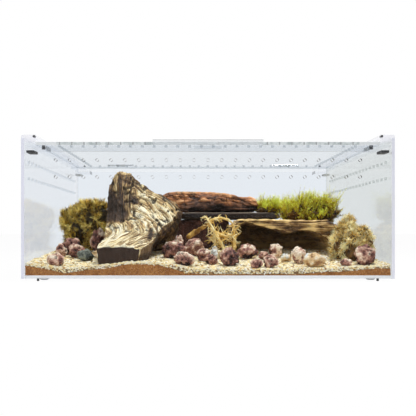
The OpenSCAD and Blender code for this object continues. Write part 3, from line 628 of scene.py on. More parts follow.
gravel_points, gravel_faces = layer(lambda x: profile(SOIL_PROFILE, x) + 0.1, gravel_top, 5, 0.7, 9)
bed = Finish("gravel_bed")
bed_tone = bed.node("SeparateColor", {0: bed.cells(0.005, "Color")})
# Painted shade between the chips: the bed darkens to brown towards the edge of each cell.
bed_gap = bed.cells(0.005)
bed_colour = bed.ramp(bed_tone, (0.0, 196, 160, 104), (0.3, 226, 206, 160), (0.7, 240, 230, 196))
bed_finish = bed.solid(Base_Color=bed.mix((bed_gap * 1.4).at_most(1.0), bed_colour, shade(120, 88, 54)),
                       Roughness=0.85, Normal=bed.bump(1.0 - bed_gap, 0.0015))
add_piece("gravel_bed_core", gravel_points, gravel_faces, bed_finish, "gravel", "gravel_bed")

chip = Finish("gravel_chip")
vein = chip.noise(0.002, 3.0)
chip_colour = chip.ramp(chip.field("tone"), (0.0, 140, 92, 44), (0.06, 204, 158, 88), (0.14, 244, 218, 150),
                        (0.4, 254, 244, 200), (0.8, 255, 251, 232), (1.0, 240, 240, 234))
chip_finish = chip.solid(Base_Color=chip.mix(vein * 0.35, chip_colour, shade(214, 186, 130)),
                         Roughness=0.6 + vein * 0.3, Normal=chip.bump(vein, 0.0003))


def within_walls(points, gap):
    """The points, held at least this far from the glass."""
    points[:, 0] = np.clip(points[:, 0], -WALL_X + gap, WALL_X - gap)
    points[:, 1] = np.clip(points[:, 1], WALL_FRONT + gap, WALL_BACK - gap)
    return points


def chip_layer(name, x, d, z, tilt):
    """Chips about 8 mm long and 2.5 mm thick, flat but for a tilt in radians, each with its own tone."""
    count = len(x)
    size = np.stack([6.0 + 4.5 * rng.random(count), 3.4 + 2.0 * rng.random(count),
                     2.0 + rng.random(count)], -1)
    turns = np.stack([rng.random(count) * ANY_TURN, *(tilt * (2 * rng.random((2, count)) - 1))], -1)
    points, faces = chips(np.stack([x, d, z], -1), size, turns, 0.5)
    add_piece(name, within_walls(points, GLASS_GAP), [faces], chip_finish, "gravel", smooth=False,
              tone=np.repeat(rng.random(count), CHIP_CORNERS))


for number, (start, end, count) in enumerate(CHIP_BANDS, 1):
    chip_x = (2 * rng.random(count) - 1) * (WALL_X - 3)
    chip_d = start + (end - start) * rng.random(count)
    chip_z = ground(chip_x, chip_d) - 1.5 + 0.9 * rng.random(count)
    chip_layer(f"gravel_chips_{number}", chip_x, chip_d, chip_z, 0.4)
rim_x, rim_d = along_walls(RIM_CHIPS, 2.2)
rim_low = profile(SOIL_PROFILE, rim_x)
rim_z = rim_low + 1.0 + (ground(rim_x, rim_d) - rim_low - 0.8) * rng.random(RIM_CHIPS) ** 0.8
chip_layer("gravel_chips_at_glass", rim_x, rim_d, rim_z, 0.9)

# ---- Driftwood ----
# One weathered root stump: a pale plate runs from its sawn face at the glass up to a darker, fissured crown.
# The wood is greyed and brown on the crown and cream on the plate, partly its own colour and partly painted
# shade and light. Painted shade makes the sawn face at the glass nearly black and darkens the cracks, the
# hollows, the underside, the left side and the faces turned to the right. Its waves are full over crown and
# plate and worn low on the tongue near the glass.

# Stations: depth, left and right from the left wall, heights across the top, heights across the underside.
WOOD = np.array([
    [12, 119, 190, 50, 52, 53, 53, 53, 52, 48, 0, 0, 0, 0, 0, 0, 0],
    [35, 116, 203, 53, 57, 60, 61, 61, 60, 55, 0, 0, 0, 0, 0, 0, 0],
    [65, 116, 213, 58, 67, 72, 75, 74, 71, 64, 0, 0, 0, 0, 36, 46, 52],
    [95, 117, 222, 66, 80, 88, 91, 90, 86, 78, 0, 0, 0, 0, 46, 58, 66],
    [125, 117, 236, 86, 106, 106, 104, 103, 99, 90, 0, 0, 0, 40, 56, 70, 78],
    [150, 116, 246, 130, 163, 150, 124, 116, 111, 102, 0, 0, 0, 42, 60, 78, 90],
    [175, 114, 256, 168, 195, 183, 168, 152, 139, 121, 0, 0, 0, 44, 62, 84, 102],
    [200, 116, 260, 158, 186, 176, 163, 148, 134, 116, 0, 0, 0, 0, 60, 78, 98],
    [222, 124, 250, 118, 142, 142, 134, 124, 112, 98, 0, 0, 0, 0, 0, 0, 76],
    [236, 138, 230, 72, 86, 92, 90, 84, 78, 66, 0, 0, 0, 0, 0, 0, 0]], float)


def glide(table, s):
    """Rows of a table read at any place s on one smooth curve through them (Catmull-Rom)."""
    i = np.clip(np.floor(s).astype(int), 0, len(table) - 2)
    t = (s - i).reshape(-1, *[1] * (table.ndim - 1))
    a, b = table[np.maximum(i - 1, 0)], table[i]
    c, e = table[i + 1], table[np.minimum(i + 2, len(table) - 1)]
    bend, turn = 2 * a - 5 * b + 4 * c - e, 3 * b - a - 3 * c + e
    return 0.5 * (2 * b + (c - a) * t + bend * t * t + turn * t ** 3)


def soften(grid, times, axis=1, loop=True):
    """Averages each point with its two neighbours along one axis, a number of times."""
    for _ in range(times):
        if loop:
            grid = (np.roll(grid, 1, axis) + 2 * grid + np.roll(grid, -1, axis)) / 4
        else:
            inner = (grid[:-2] + 2 * grid[1:-1] + grid[2:]) / 4
            grid = np.concatenate([grid[:1], inner, grid[-1:]])
    return grid


def shrink_ends(grid, steps, bulge=0.0):
    """Closes a tube of rings: rings shrinking to the middle of the first and last one join it at its ends."""
    shares = np.linspace(0, 1, steps + 2)[1:-1, None, None]
    ends = []
    for ring, beyond in ((grid[0], grid[1]), (grid[-1], grid[-2])):
        middle = ring.mean(0)
        out = (middle - beyond.mean(0)) / max(np.linalg.norm(middle - beyond.mean(0)), 1e-6)
        ends.append(middle + (ring - middle) * shares + out * bulge * np.sqrt(np.maximum(1 - shares ** 2, 0)))
    return np.concatenate([ends[0], grid, ends[1][::-1]])


def facing(grid):
    """Unit outward direction at each point of a closed tube of rings, from its neighbours' differences."""
    across = np.roll(grid, -1, 1) - np.roll(grid, 1, 1)
    along = np.gradient(grid, axis=0)
    out = np.cross(across, along)
    if (out * (grid - grid.mean((0, 1)))).sum() < 0:
        out = -out
    return out / np.maximum(np.linalg.norm(out, axis=-1, keepdims=True), 1e-9)


def closed_tube(grid):
    """Points and faces of a tube of rings, with a point at the middle of each end."""
    rows, columns = grid.shape[:2]
    points = np.concatenate([grid.reshape(-1, 3), [grid[0].mean(0)], [grid[-1].mean(0)]])
    j = np.arange(columns)
    k = (j + 1) % columns
    top = (rows - 1) * columns
    first = np.stack([np.full(columns, rows * columns), k, j], -1)
    last = np.stack([np.full(columns, rows * columns + 1), top + j, top + k], -1)
    return points, [weave(rows, columns), np.concatenate([first, last])]


def with_ends(field):
    """A grid of values, flattened, with one more value for each end point."""
    return np.concatenate([field.ravel(), [field[0].mean(), field[-1].mean()]])


def add_tube(name, grid, finish, slot, replaced, **fields):
    """One closed tube of rings as a piece, with a grid of values for each field."""
    points, faces = closed_tube(grid)
    add_piece(name, points, faces, finish, slot, replaced, **{k: with_ends(v) for k, v in fields.items()})


WOOD_WAVES = [[2.2, 5, 35], [1.6, 2, -75]]    # height, number across, degrees from one station to the next
WORN_WAVES = 0.4                              # share of the waves' height that is left at the sawn face
# Painted shade: dark patches for two hollows that the mesh doesn't have.
HOLLOW_SHADE_PATCHES = [[-137, 136, 11, 10], [-100, 72, 6, 13]]    # x, height, half width and half height of each
CREST_X = [114, 138, 161, 185, 209, 232, 256]              # of the highest station, from the left wall
CREST_Z = [168, 195, 183, 168, 152, 139, 121]
ACROSS = 6                                                 # steps between a station's heights
THIN = 8                                                   # the wood is no thinner anywhere
wood_rows, wood_top, wood_under = 230, 250, 70
at = np.linspace(0, len(WOOD) - 1, wood_rows)
station = glide(WOOD, at)
u_top = np.linspace(0, ACROSS, wood_top)
u_under = np.linspace(ACROSS, 0, wood_under + 2)[1:-1]
top_line = glide(station[:, 3:10].T, u_top).T
under_steps = np.stack([np.interp(at, np.arange(len(WOOD)), heights) for heights in WOOD[:, 10:].T], -1)
under_line = np.stack([np.interp(u_under, np.arange(ACROSS + 1), row) for row in under_steps])
worn = WORN_WAVES + (1 - WORN_WAVES) * rise(60, 120, station[:, :1])
top_line = top_line + worn * sum(h * np.sin(2 * np.pi * n * u_top / ACROSS + np.radians(turn) * at[:, None])
                                 for h, n, turn in WOOD_WAVES)
left_x, right_x = station[:, 1:2] - WALL_X, station[:, 2:3] - WALL_X
wood_u = np.concatenate([u_top, u_under]) / ACROSS
wood_x = left_x + (right_x - left_x) * wood_u
wood_d = np.broadcast_to(station[:, :1], wood_x.shape)
above = np.stack([np.interp(u_under, u_top, row) for row in top_line])
belly = np.maximum(under_line, ground(wood_x[:, wood_top:], wood_d[:, wood_top:]) - 1.0)
wood_z = np.concatenate([top_line, np.minimum(belly, above - THIN)], 1)
wood = soften(np.stack([wood_x, wood_d, wood_z], -1), 5)
wood = shrink_ends(soften(wood, 2, 0, False), 14)

x, d, z = np.moveaxis(wood, -1, 0)
crest = np.interp(x + WALL_X, CREST_X, CREST_Z)
stump = rise(-128, -150, x) * rise(82, 110, z)
ridge = rise(34, 12, crest - z) * rise(-170, -150, x) * rise(120, 160, d)
tongue = rise(95, 55, d)
cut = rise(13.5, 12.3, d) * rise(0.5, 2.5, 53 - z)
plate = np.clip(1 - stump - ridge - tongue, 0, 1)
swirl = 9 * rough(wood, 46.0, 2, 21)


def grain_lines(across, along, width, length, seed):
    """Noise drawn out along the grain: narrow across it and long along it."""
    return rough(np.stack([across / width, along / length, 0 * across], -1), 1.0, 3, seed)


def crack(noise, width):
    """1 along the lines where the noise is zero, falling evenly to 0 where it reaches this width."""
    return np.clip(1 - abs(noise) / width, 0, 1)


low = plate * rise(84, 62, z)
high = plate - low
lines = (stump * grain_lines(x + 0.4 * swirl, z, 2.2, 50, 31)
         + ridge * grain_lines(z + 0.62 * x + swirl, x, 2.2, 60, 32)
         + high * grain_lines(x + 0.9 * z + swirl, x - z, 2.2, 34, 33)
         + low * grain_lines(z - 0.45 * x + 0.8 * swirl, x + 0.45 * z, 1.7, 44, 35)
         + tongue * grain_lines(x - 0.8 * d + 0.6 * swirl, d, 2.4, 60, 34))
coarse = (stump * grain_lines(x + 0.7 * swirl, z, 6.5, 80, 41)
          + ridge * grain_lines(z + 0.62 * x + swirl, x, 5.5, 80, 42)
          + high * grain_lines(x + 0.9 * z + 1.3 * swirl, x - z, 5.5, 50, 43)
          + low * grain_lines(z - 0.45 * x + 1.2 * swirl, x + 0.45 * z, 5.0, 50, 45)
          + tongue * grain_lines(x - 0.8 * d + swirl, d, 8.0, 90, 44))
wide_cracks = crack(coarse, 0.17 + 0.06 * plate) * np.clip(stump + ridge + plate + 0.35 * tongue, 0, 1)
fine_cracks = crack(lines, 0.14) * np.clip(0.6 * (stump + ridge) + 0.72 * plate + 0.4 * tongue, 0, 1)
fissure = np.maximum(wide_cracks, fine_cracks)
holes = rise(0.4, 0.6, rough(wood, 9.0, 2, 51)) * (1 - 0.7 * tongue) * 0.9
right_edge = wood[:, wood_top - 1:wood_top, 0]
notches = rise(0.1, 0.4, ripple(wood, 8.0, 55)) * rise(12, 4, right_edge - x) * rise(40, 60, d)
gnarled = rise(-140, -165, x) * rise(90, 120, z)
swell = (1.4 * rough(wood, 26.0, 3, 61) * (0.3 + stump + ridge) + 2.6 * rough(wood, 13.0, 2, 62) * gnarled
         + 1.3 * lines - 2.0 * fissure - 2.6 * holes - 3.0 * notches)
swell = swell * rise(10, 20, d) * rise(238, 228, d)
wood = wood + facing(wood) * swell[..., None]
broken = rise(30, 13, d)
wood[..., 0] += broken * 2.4 * rough(wood * [1, 3, 1], 16.0, 3, 71)
wood[..., 2] += broken * 2.0 * rough(wood * [1, 3, 1], 14.0, 3, 72)
wood[..., 1] += cut * np.clip(1.5 * grain_lines(x, z, 4, 30, 73), -1.5, 2.5)
wood[..., 2] = np.maximum(wood[..., 2], ground(wood[..., 0], wood[..., 1]) - SUNK)
# The crown and ridge are darker and the tongue and plate paler, partly the wood's colour and partly painted
# shade and light. The crown is less dark near its top.
tone = np.clip(0.7 + 0.2 * tongue + 0.1 * plate - (0.3 - 0.1 * rise(160, 185, z)) * stump - 0.16 * ridge
               + 0.36 * lines * (1 - 0.6 * tongue - 0.4 * stump - 0.2 * ridge)
               + (0.3 + 0.14 * plate) * coarse * (1 - 0.5 * tongue - 0.2 * stump)
               + 0.22 * (1 - 0.4 * plate) * rough(wood, 22.0, 3, 81), 0, 1)
face_x = facing(wood)[..., 0]
# Painted shade on the faces that turn to the right, back from the sawn face.
right_flank_shade = rise(0.3, 0.75, face_x) * rise(13, 16, d)
# Painted shade on the wood's left side below the crown.
left_side_shade = rise(5, -5, x + 174 - 0.72 * np.clip(150 - z, -20, 34)) * rise(80, 100, d)
left_side_shade = left_side_shade * rise(88, 102, z) * rise(172, 150, z)
# Painted shade in the hollows, and in a narrow band down the crown's front.
hollow_shade = sum(rise(1, 0.3, np.hypot((x - hole_x) / half_wide, (z - hole_z) / half_tall))
             for hole_x, hole_z, half_wide, half_tall in HOLLOW_SHADE_PATCHES)
gouge_shade = rise(1, 0.2, abs(x + 160 + 0.12 * (z - 140)) / 6) * rise(100, 116, z) * rise(196, 182, z)
# Painted shade on the underside.
underside_shade = np.broadcast_to(np.arange(wood.shape[1]) >= wood_top, tone.shape) * 1.0
tone = tone * (1 - 0.75 * left_side_shade) * (1 - 0.55 * underside_shade) * (1 - 0.68 * right_flank_shade)
tone = tone * (1 - 0.85 * np.clip(hollow_shade, 0, 1)) * (1 - 0.5 * gouge_shade)
stump_wood = Finish("driftwood")
wood_fine = stump_wood.noise(0.0035, 5.0)
wood_wide = stump_wood.noise(0.025, 3.0)
wood_base = stump_wood.ramp(
    stump_wood.field("tone") + (wood_fine - 0.5) * 0.3 + (wood_wide - 0.5) * 0.16,
    (0.0, 26, 20, 14), (0.18, 78, 58, 42), (0.38, 142, 112, 74), (0.55, 202, 170, 116), (0.72, 236, 216, 164),
    (0.95, 252, 242, 212))
# Painted shade in the cracks, holes and notches that the surface is pressed into.
wood_crack_shade = stump_wood.mix(stump_wood.field("crack") * 0.95, wood_base, shade(38, 28, 18))
# Painted shade: the sawn face at the glass is nearly black, as a face turned from the light.
sawn_face_shade = stump_wood.mix(wood_fine, shade(20, 12, 8), shade(72, 50, 34))
wood_finish = stump_wood.solid(Base_Color=stump_wood.mix(stump_wood.field("cut"), wood_crack_shade, sawn_face_shade),
                               Roughness=0.75 + wood_fine * 0.2, Normal=stump_wood.bump(wood_fine, 0.001))
add_tube("driftwood_stump", wood, wood_finish, "pale_wood", "driftwood", tone=tone,
         crack=np.clip(fissure + holes + notches, 0, 1), cut=cut)

# ---- Bark hide ----
# A thick curved plate of cork bark, open at the front. Its broken rim is golden brown with split layers, and
# its hollow is dark, though painted light makes its inside paler low down. Painted shade darkens its cracks.
# It stands on two legs and runs down to the gravel at the back.
HIDE_WIDE, HIDE_LONG, HIDE_FRONT = 219.0, 190.0, 146.0
HIDE_X = WALL_X - 41 - HIDE_WIDE
HIDE_LEVEL = 0.66    # share of its length over which it keeps its height
HIDE_OUTER = np.array([[0, 0], [0.01, 62], [0.03, 86], [0.07, 98], [0.15, 102], [0.28, 99], [0.43, 96],
                       [0.6, 95], [0.75, 95.5], [0.86, 95], [0.93, 90], [0.975, 74], [0.99, 58], [1, 0]])
HIDE_INNER = np.array([[0.05, 0], [0.052, 56], [0.06, 80], [0.09, 91], [0.15, 95], [0.28, 90], [0.43, 80],
                       [0.53, 74.5], [0.62, 81], [0.7, 80], [0.8, 70], [0.88, 58], [0.925, 46], [0.945, 0]])
hide_across, hide_out_rows, hide_in_rows, rim_rows = 420, 80, 60, 22
steps = np.linalg.norm(np.diff(HIDE_OUTER * [HIDE_WIDE, 1], axis=0), axis=1)
reach = np.concatenate([[0], np.cumsum(steps)])
s_across = np.interp(np.linspace(0, reach[-1], hide_across), reach, np.arange(len(HIDE_OUTER)))


def hide_face(outline, t, low):
    """One face of the hide at lengthwise shares t: its outline, which runs down from two thirds on."""
    corner = np.arange(len(outline))
    line = np.stack([np.interp(s_across, corner, outline[:, k]) for k in (0, 1)], -1)[:, None]
    t = t[None, :]
    fall = np.clip((t - HIDE_LEVEL) / (1 - HIDE_LEVEL), 0, 1) ** 1.5
    keep = 1 - (1 - low) * fall
    x = HIDE_X + HIDE_WIDE * (0.02 * t + line[..., 0] * (1 - 0.04 * t))
    d = HIDE_FRONT + HIDE_LONG * t + 0 * x
    foot = ground(x, d) - 1.0
    z = np.maximum(foot + line[..., 1] / 60, foot + (line[..., 1] - foot) * keep)
    return np.stack([x, d, np.where(line[..., 1] <= 0.01, foot, z)], -1)


outer = hide_face(HIDE_OUTER, np.linspace(0, 1, hide_out_rows), 0.45)
share_x = (outer[..., 0] - HIDE_X) / HIDE_WIDE
outer[..., 2] += 3.0 * rise(0.2, 0.4, share_x) * rise(60, 90, outer[..., 2]) * rise(1, 0.85, share_x)
inner = hide_face(HIDE_INNER, np.linspace(1, 0, hide_in_rows), 0.0)


def rim(start, end, rows):
    share = np.linspace(0, 1, rows + 2)[1:-1, None]
    return start[:, None] * (1 - share) + end[:, None] * share


hide = np.concatenate([outer, rim(outer[:, -1], inner[:, 0], rim_rows), inner,
                       rim(inner[:, -1], outer[:, 0], rim_rows)], 1)
hide = soften(hide, 3)
hide_columns = hide.shape[1]
rim_front = np.zeros(hide_columns)
rim_front[-rim_rows:] = 1
rim_front[:2] = rim_front[-rim_rows - 2:-rim_rows] = 0.7
in_hollow = np.zeros(hide_columns)
in_hollow[hide_out_rows + rim_rows:hide_out_rows + rim_rows + hide_in_rows - 2] = 1
x, d, z = np.moveaxis(hide, -1, 0)
drift = 7 * rough(hide, 60.0, 2, 101)
strata = grain_lines(z + 0.25 * drift, x + 0.4 * d, 3.2, 46, 102)
layers = crack(grain_lines(z + 0.35 * drift, x, 5.5, 70, 103), 0.16)
bark_fissure = crack(grain_lines(d + drift, x, 9.0, 55, 104), 0.12) * (1 - in_hollow)
bark_fissure = bark_fissure * rise(HIDE_FRONT + 14, HIDE_FRONT + 30, d)
swell = (3.0 * rough(hide, 22.0, 3, 105) + 1.5 * strata - 2.2 * layers * np.maximum(rim_front, 0.25)
         - 3.0 * bark_fissure * (1 - rim_front))
swell = swell * rise(0, 12, np.minimum(np.arange(hide_across), np.arange(hide_across)[::-1]))[:, None]
hide = hide + facing(hide) * np.clip(swell, -4.5, 3.0)[..., None]
hide[..., 1] = hide[..., 1] - rim_front * (2.0 + 2.4 * strata + 2.0 * rough(hide, 12.0, 2, 107)) * 0.6
lip = np.zeros(hide_columns)
lip[-rim_rows:] = np.linspace(1, 0, rim_rows) ** 2.6
# Painted light: the inside of the hollow is paler towards its floor, standing in for light that barely
# reaches it.
hollow_fill_light = 0.5 - 0.5 * rise(36, 84, z)
hide_tone = np.clip(
    0.4 - 0.1 * rim_front + 0.62 * lip + hollow_fill_light * in_hollow + (0.5 - 0.36 * in_hollow) * strata
    + (0.26 - 0.16 * in_hollow) * rough(hide, 12.0, 3, 106), 0, 1)
hide_ground = ground(hide[..., 0], hide[..., 1])
at_back = (hide[..., 1] > HIDE_FRONT + HIDE_LONG - 14) & (hide[..., 2] - hide_ground < 5)
hide[..., 2] = np.where(at_back, hide_ground - 1.5, hide[..., 2])
# Painted shade in the split layers and the bark's fissures, where the surface is pressed in.
hide_crack_shade = np.clip(np.maximum(layers * (0.4 + 0.6 * rim_front) * (1 - 0.7 * lip), bark_fissure), 0, 1)


def weathered(name, size, mottle, base, relief, stops, stretch=None, detail=5.0, crack_shade=None):
    """A dry, uneven finish: a ramp over the mesh's tones, which fine noise shifts, roughens and dents.

    Painted shade in cracks, if asked for, is the field that marks them, how far it covers the rest, and its
    colour as seen on screen.
    """
    made = Finish(name)
    fine = made.noise(size, detail, made.stretched(stretch) if stretch else None)
    colour = made.ramp(made.field("tone") + (fine - 0.5) * mottle, *stops)
    if crack_shade:
        field, cover, *dark = crack_shade
        colour = made.mix(made.field(field) * cover, colour, shade(*dark))
    return made.solid(Base_Color=colour, Roughness=base + fine * 0.2, Normal=made.bump(fine, relief))


cork_finish = weathered("cork_bark", 0.003, 0.5, 0.8, 0.0015, [
    (0.0, 44, 33, 25), (0.2, 94, 72, 50), (0.42, 140, 108, 70), (0.62, 186, 150, 98), (0.85, 240, 208, 142)],
    (0.35, 0.6, 1.3), crack_shade=("crack", 0.8, 36, 25, 16))
add_tube("bark_hide_shell", hide, cork_finish, "brown_bark", "bark_hide", tone=hide_tone, crack=hide_crack_shade)

# ---- Dark slab and its standing stone ----
# A flat, nearly black piece of split wood lies across the hide's top. Its left end rests on a stone behind
# the roots, which leans a little to the right and is painted dark as the shade it stands in. Only the slab's
# upper edge catches the light, and that is painted on as a grey highlight.
SLAB_X, SLAB_D = HIDE_X - 85, HIDE_FRONT + 89
SLAB_Z, SLAB_T = 102.4, 15.0
SLAB_OUTLINE = [[-10, 8], [18, 0], [60, 3], [110, 0], [160, 4], [193, 10], [201, 40], [192, 72], [170, 90],
                [120, 96], [70, 93], [25, 97], [-4, 84], [-14, 50]]
STONE_OUTLINE = [[0, 10], [14, 0], [58, -4], [78, 6], [81, 38], [62, 58], [12, 54], [-3, 36]]
STONE_MIDDLE, STONE_PLACE = [39, 27], [34, 47]    # of the outline, and from the slab's corner
STONE_WIDENED = [1.26, 1]
STONE_LEAN = 6


def biscuit(outline, low, high, columns, rows, rounding):
    """A flat piece with this outline, in rings from under its middle, round its edge, to over its middle.

    A ring's share of the outline is |cos a| to a small power and its height follows sin a to the same power,
    for a from -90 to 90 degrees.
    """
    outline = np.array(outline, float)
    closed = np.concatenate([outline, outline[:1]])
    reach = np.concatenate([[0], np.cumsum(np.linalg.norm(np.diff(closed, axis=0), axis=1))])
    at = np.linspace(0, reach[-1], columns, endpoint=False)
    ring = soften(np.stack([np.interp(at, reach, closed[:, k]) for k in (0, 1)], -1)[None], 4)[0]
    middle = ring.mean(0)
    a = np.linspace(-1, 1, rows + 2)[1:-1] * math.pi / 2
    share = np.abs(np.cos(a)) ** rounding
    height = (low + high) / 2 + (high - low) / 2 * np.sign(a) * np.abs(np.sin(a)) ** rounding
    flat = middle + (ring - middle) * share[:, None, None]
    return np.concatenate([flat, np.broadcast_to(height[:, None, None], (rows, columns, 1))], -1)


slab = biscuit(np.array(SLAB_OUTLINE) + [SLAB_X, SLAB_D], SLAB_Z, SLAB_Z + SLAB_T, 260, 64, 0.32)
x, d, z = np.moveaxis(slab, -1, 0)
edge_lines = grain_lines(z, x + d, 2.6, 60, 111)
swell = 1.8 * rough(slab, 22.0, 3, 112) + 1.2 * edge_lines
slab = slab + facing(slab) * np.clip(swell, -3.0, 1.6)[..., None] * [1, 1, 0.3]
# Painted highlight along the top few millimetres of the slab's edge.
slab_tone = np.clip(0.16 + 0.12 * edge_lines + 0.42 * rise(SLAB_Z + 11.5, SLAB_Z + 14, slab[..., 2])
                    + 0.1 * rough(slab, 18.0, 2, 113), 0, 1)
split_finish = weathered("dark_wood", 0.003, 0.3, 0.8, 0.001, [
    (0.0, 14, 10, 9), (0.25, 44, 33, 28), (0.5, 92, 78, 64), (0.8, 150, 136, 112)], (0.3, 0.3, 1.4))
add_tube("dark_slab_piece", slab, split_finish, "dark_wood", "dark_slab", tone=slab_tone)

lava = Finish("lava_rock")
lava_fine = lava.noise(0.0022, 5.0)
lava_base = lava.ramp(lava.field("tone") + (lava_fine - 0.5) * 0.45, (0.0, 48, 30, 27), (0.25, 114, 74, 67),
                      (0.5, 166, 118, 102), (0.7, 214, 174, 150), (0.95, 254, 236, 212))
# Painted shade in the pits: the pit field darkens them to nearly black.
lava_finish = lava.solid(Base_Color=lava.mix(lava.field("pit") * 0.8, lava_base, shade(38, 23, 21)),
                         Roughness=0.8 + lava_fine * 0.2,
                         Normal=lava.bump(lava_fine * 0.6 + lava.cells(0.0022), 0.0012))
stone_outline = (np.array(STONE_OUTLINE) - STONE_MIDDLE) * STONE_WIDENED + STONE_PLACE + [SLAB_X, SLAB_D]
prop = biscuit(stone_outline, GROUND_BACK - 1, SLAB_Z - 0.4, 110, 70, 0.13)
prop[..., 0] += STONE_LEAN * rise(60, 92, prop[..., 2]) * rise(SLAB_X + 50, SLAB_X + 80, prop[..., 0])
prop = prop + facing(prop) * np.clip(2.2 * rough(prop, 18.0, 4, 121), -2.5, 2.4)[..., None]
# Painted shade: the standing stone's tones stay near the dark end of the lava colours.
add_tube("standing_stone", prop, lava_finish, "lava_rock", "support_stone",
         tone=0.08 + 0.2 * rough(prop, 14.0, 3, 122), pit=rise(0.25, 0.5, rough(prop, 5.0, 2, 123)))

# ---- Red-brown bark slab ----
# A thick, blunt piece of bark lies on the dark slab. Its upper side has red plates split by cracks, painted
# dark with shade, and is painted lighter where the light falls. Its front edge is worn grey, and painted
# shade makes its underside nearly black.

# Stations: share of the length, underside's and top's share of the thickness, depth.
BARK = np.array([[0, 0.55, 0.82, 26], [0.06, 0.2, 0.97, 46], [0.16, 0, 1, 60], [0.34, 0, 0.97, 70],
                 [0.5, 0, 1, 74], [0.66, 0, 0.98, 74], [0.8, 0, 0.84, 70], [0.91, 0, 0.76, 60],
                 [0.97, 0.04, 0.66, 46], [1, 0.14, 0.42, 30]])
BARK_LONG, BARK_T = 202.0, 42.0
BARK_X, BARK_D = SLAB_X - 49, SLAB_D + 50
bark_z = SLAB_Z + SLAB_T
at = np.linspace(0, 1, 190)
low, high, deep = (np.interp(at, BARK[:, 0], BARK[:, k])[:, None] for k in (1, 2, 3))
low, high = bark_z + low * BARK_T, bark_z + high * BARK_T
a = -np.linspace(0, 2 * math.pi, 150, endpoint=False)[None]
c, v = np.cos(a), np.sin(a)
bulge = 1 + 0.06 * np.sin(3 * a + np.radians(500) * at[:, None])
thick = (high - low) / 2 * np.where(v > 0, bulge, 1)
bark = np.stack([BARK_X + BARK_LONG * at[:, None] + 0 * a,
                 BARK_D + np.sign(c) * np.sqrt(abs(c)) * bulge * deep / 2,
                 (low + high) / 2 + np.sign(v) * abs(v) ** 0.6 * thick], -1)
bark = shrink_ends(soften(bark, 3), 10, 1.5)
x, d, z = np.moveaxis(bark, -1, 0)
drift = 8 * rough(bark, 50.0, 2, 131)
upper = rise(0.42, 0.6, (z - bark_z) / BARK_T + 0.1 * ripple(bark, 30.0, 132))
cracks = crack(grain_lines(z * 0.9 + d * 0.9 + drift, x, 11.0, 52, 133), 0.2)
cross = crack(grain_lines(x + drift, z + d, 13.0, 30, 134), 0.13) * upper
plates = rough(np.stack([x / 2.2, d, z], -1), 12.0, 3, 135)
fibre = grain_lines(z + 0.3 * drift, x, 2.4, 50, 136)
lumps = rough(bark, 9.0, 3, 137)
swell = 3.6 * plates * (0.5 + upper) + 1.6 * lumps + 1.2 * fibre - 3.6 * cracks * (0.3 + upper) - 2.6 * cross
bark = bark + facing(bark) * np.clip(swell - 0.2, -5, 2.6)[..., None]
bark[..., 2] = np.maximum(bark[..., 2], bark_z + 0.1)
# Painted light and shade: the upper side is lighter, and the lowest 7 to 17 mm darken to nearly black.
bark_tone = np.clip(0.4 + 0.26 * upper + 0.3 * plates + 0.3 * lumps + 0.2 * fibre
                    - 0.3 * rise(17, 7, z - bark_z + 5 * ripple(bark, 24.0, 138)), 0, 1)
red_finish = weathered("red_bark", 0.003, 0.4, 0.8, 0.0014, [
    (0.0, 26, 18, 15), (0.2, 74, 54, 46), (0.4, 122, 86, 66), (0.58, 156, 104, 72), (0.75, 190, 128, 82),
    (0.95, 230, 178, 128)], (0.4, 1.0, 1.0), crack_shade=("crack", 0.9, 26, 17, 13))
add_tube("red_bark_piece", bark, red_finish, "red_bark", "bark_slab", tone=bark_tone,
         crack=np.clip(cracks + cross, 0, 1))

# ---- Lava rocks and pebbles ----
# Purple-brown pitted lava pieces lie in three groups along the front, with one dark grey stone at the left
# and a few smooth pale pebbles between them.

# Each rock: distance from the left wall, or from the right wall for the middle and right groups, or x for the
# pale ones; then depth, width, length and height.
LEFT_ROCKS = [[47, 24, 27, 24, 19], [64, 118, 30, 26, 24], [32, 128, 20, 18, 22], [47, 157, 40, 26, 30],
              [94, 192, 30, 26, 44]]
MIDDLE_ROCKS = [[364, 92, 42, 34, 30], [345, 28, 33, 26, 21], [324, 150, 36, 28, 31],
                [356, 161, 20, 16, 33], [309, 90, 25, 20, 20], [298, 60, 21, 19, 18], [266, 44, 34, 28, 29]]
RIGHT_ROCKS = [[228, 118, 36, 28, 28], [199, 106, 20, 17, 15], [174, 130, 26, 24, 25], [199, 26, 24, 20, 20],
               [222, 18, 21, 17, 15], [142, 66, 24, 20, 27], [37, 28, 34, 28, 33], [71, 19, 20, 15, 11]]
GREY_ROCKS = [[88, 76, 30, 25, 19]]
PALE_ROCKS = [[-203, 104, 19, 15, 14], [144, 84, 18, 15, 13], [184, 30, 36, 26, 22], [17, 106, 13, 12, 24]]


def nearest(points, size, seed):
    """Distance, in cells, from each point to the nearest of a scatter with one point in each cell."""
    scaled = points / size
    cell = np.floor(scaled)
    best = np.full(points.shape[:-1], 9.0)
    for step in np.ndindex(3, 3, 3):
        near = cell + np.array(step) - 1
        spot = near + np.stack([chance(near, seed + k) for k in range(3)], -1)
        best = np.minimum(best, ((spot - scaled) ** 2).sum(-1))
    return np.sqrt(best)


def bundle(tubes):
    """Points and faces of several closed tubes together."""
    points, quads, tris, start = [], [], [], 0
    for tube in tubes:
        own, (square, three) = closed_tube(tube)
        points.append(own)
        quads.append(square + start)
        tris.append(three + start)
        start += len(own)
    return np.concatenate(points), [np.concatenate(quads), np.concatenate(tris)]


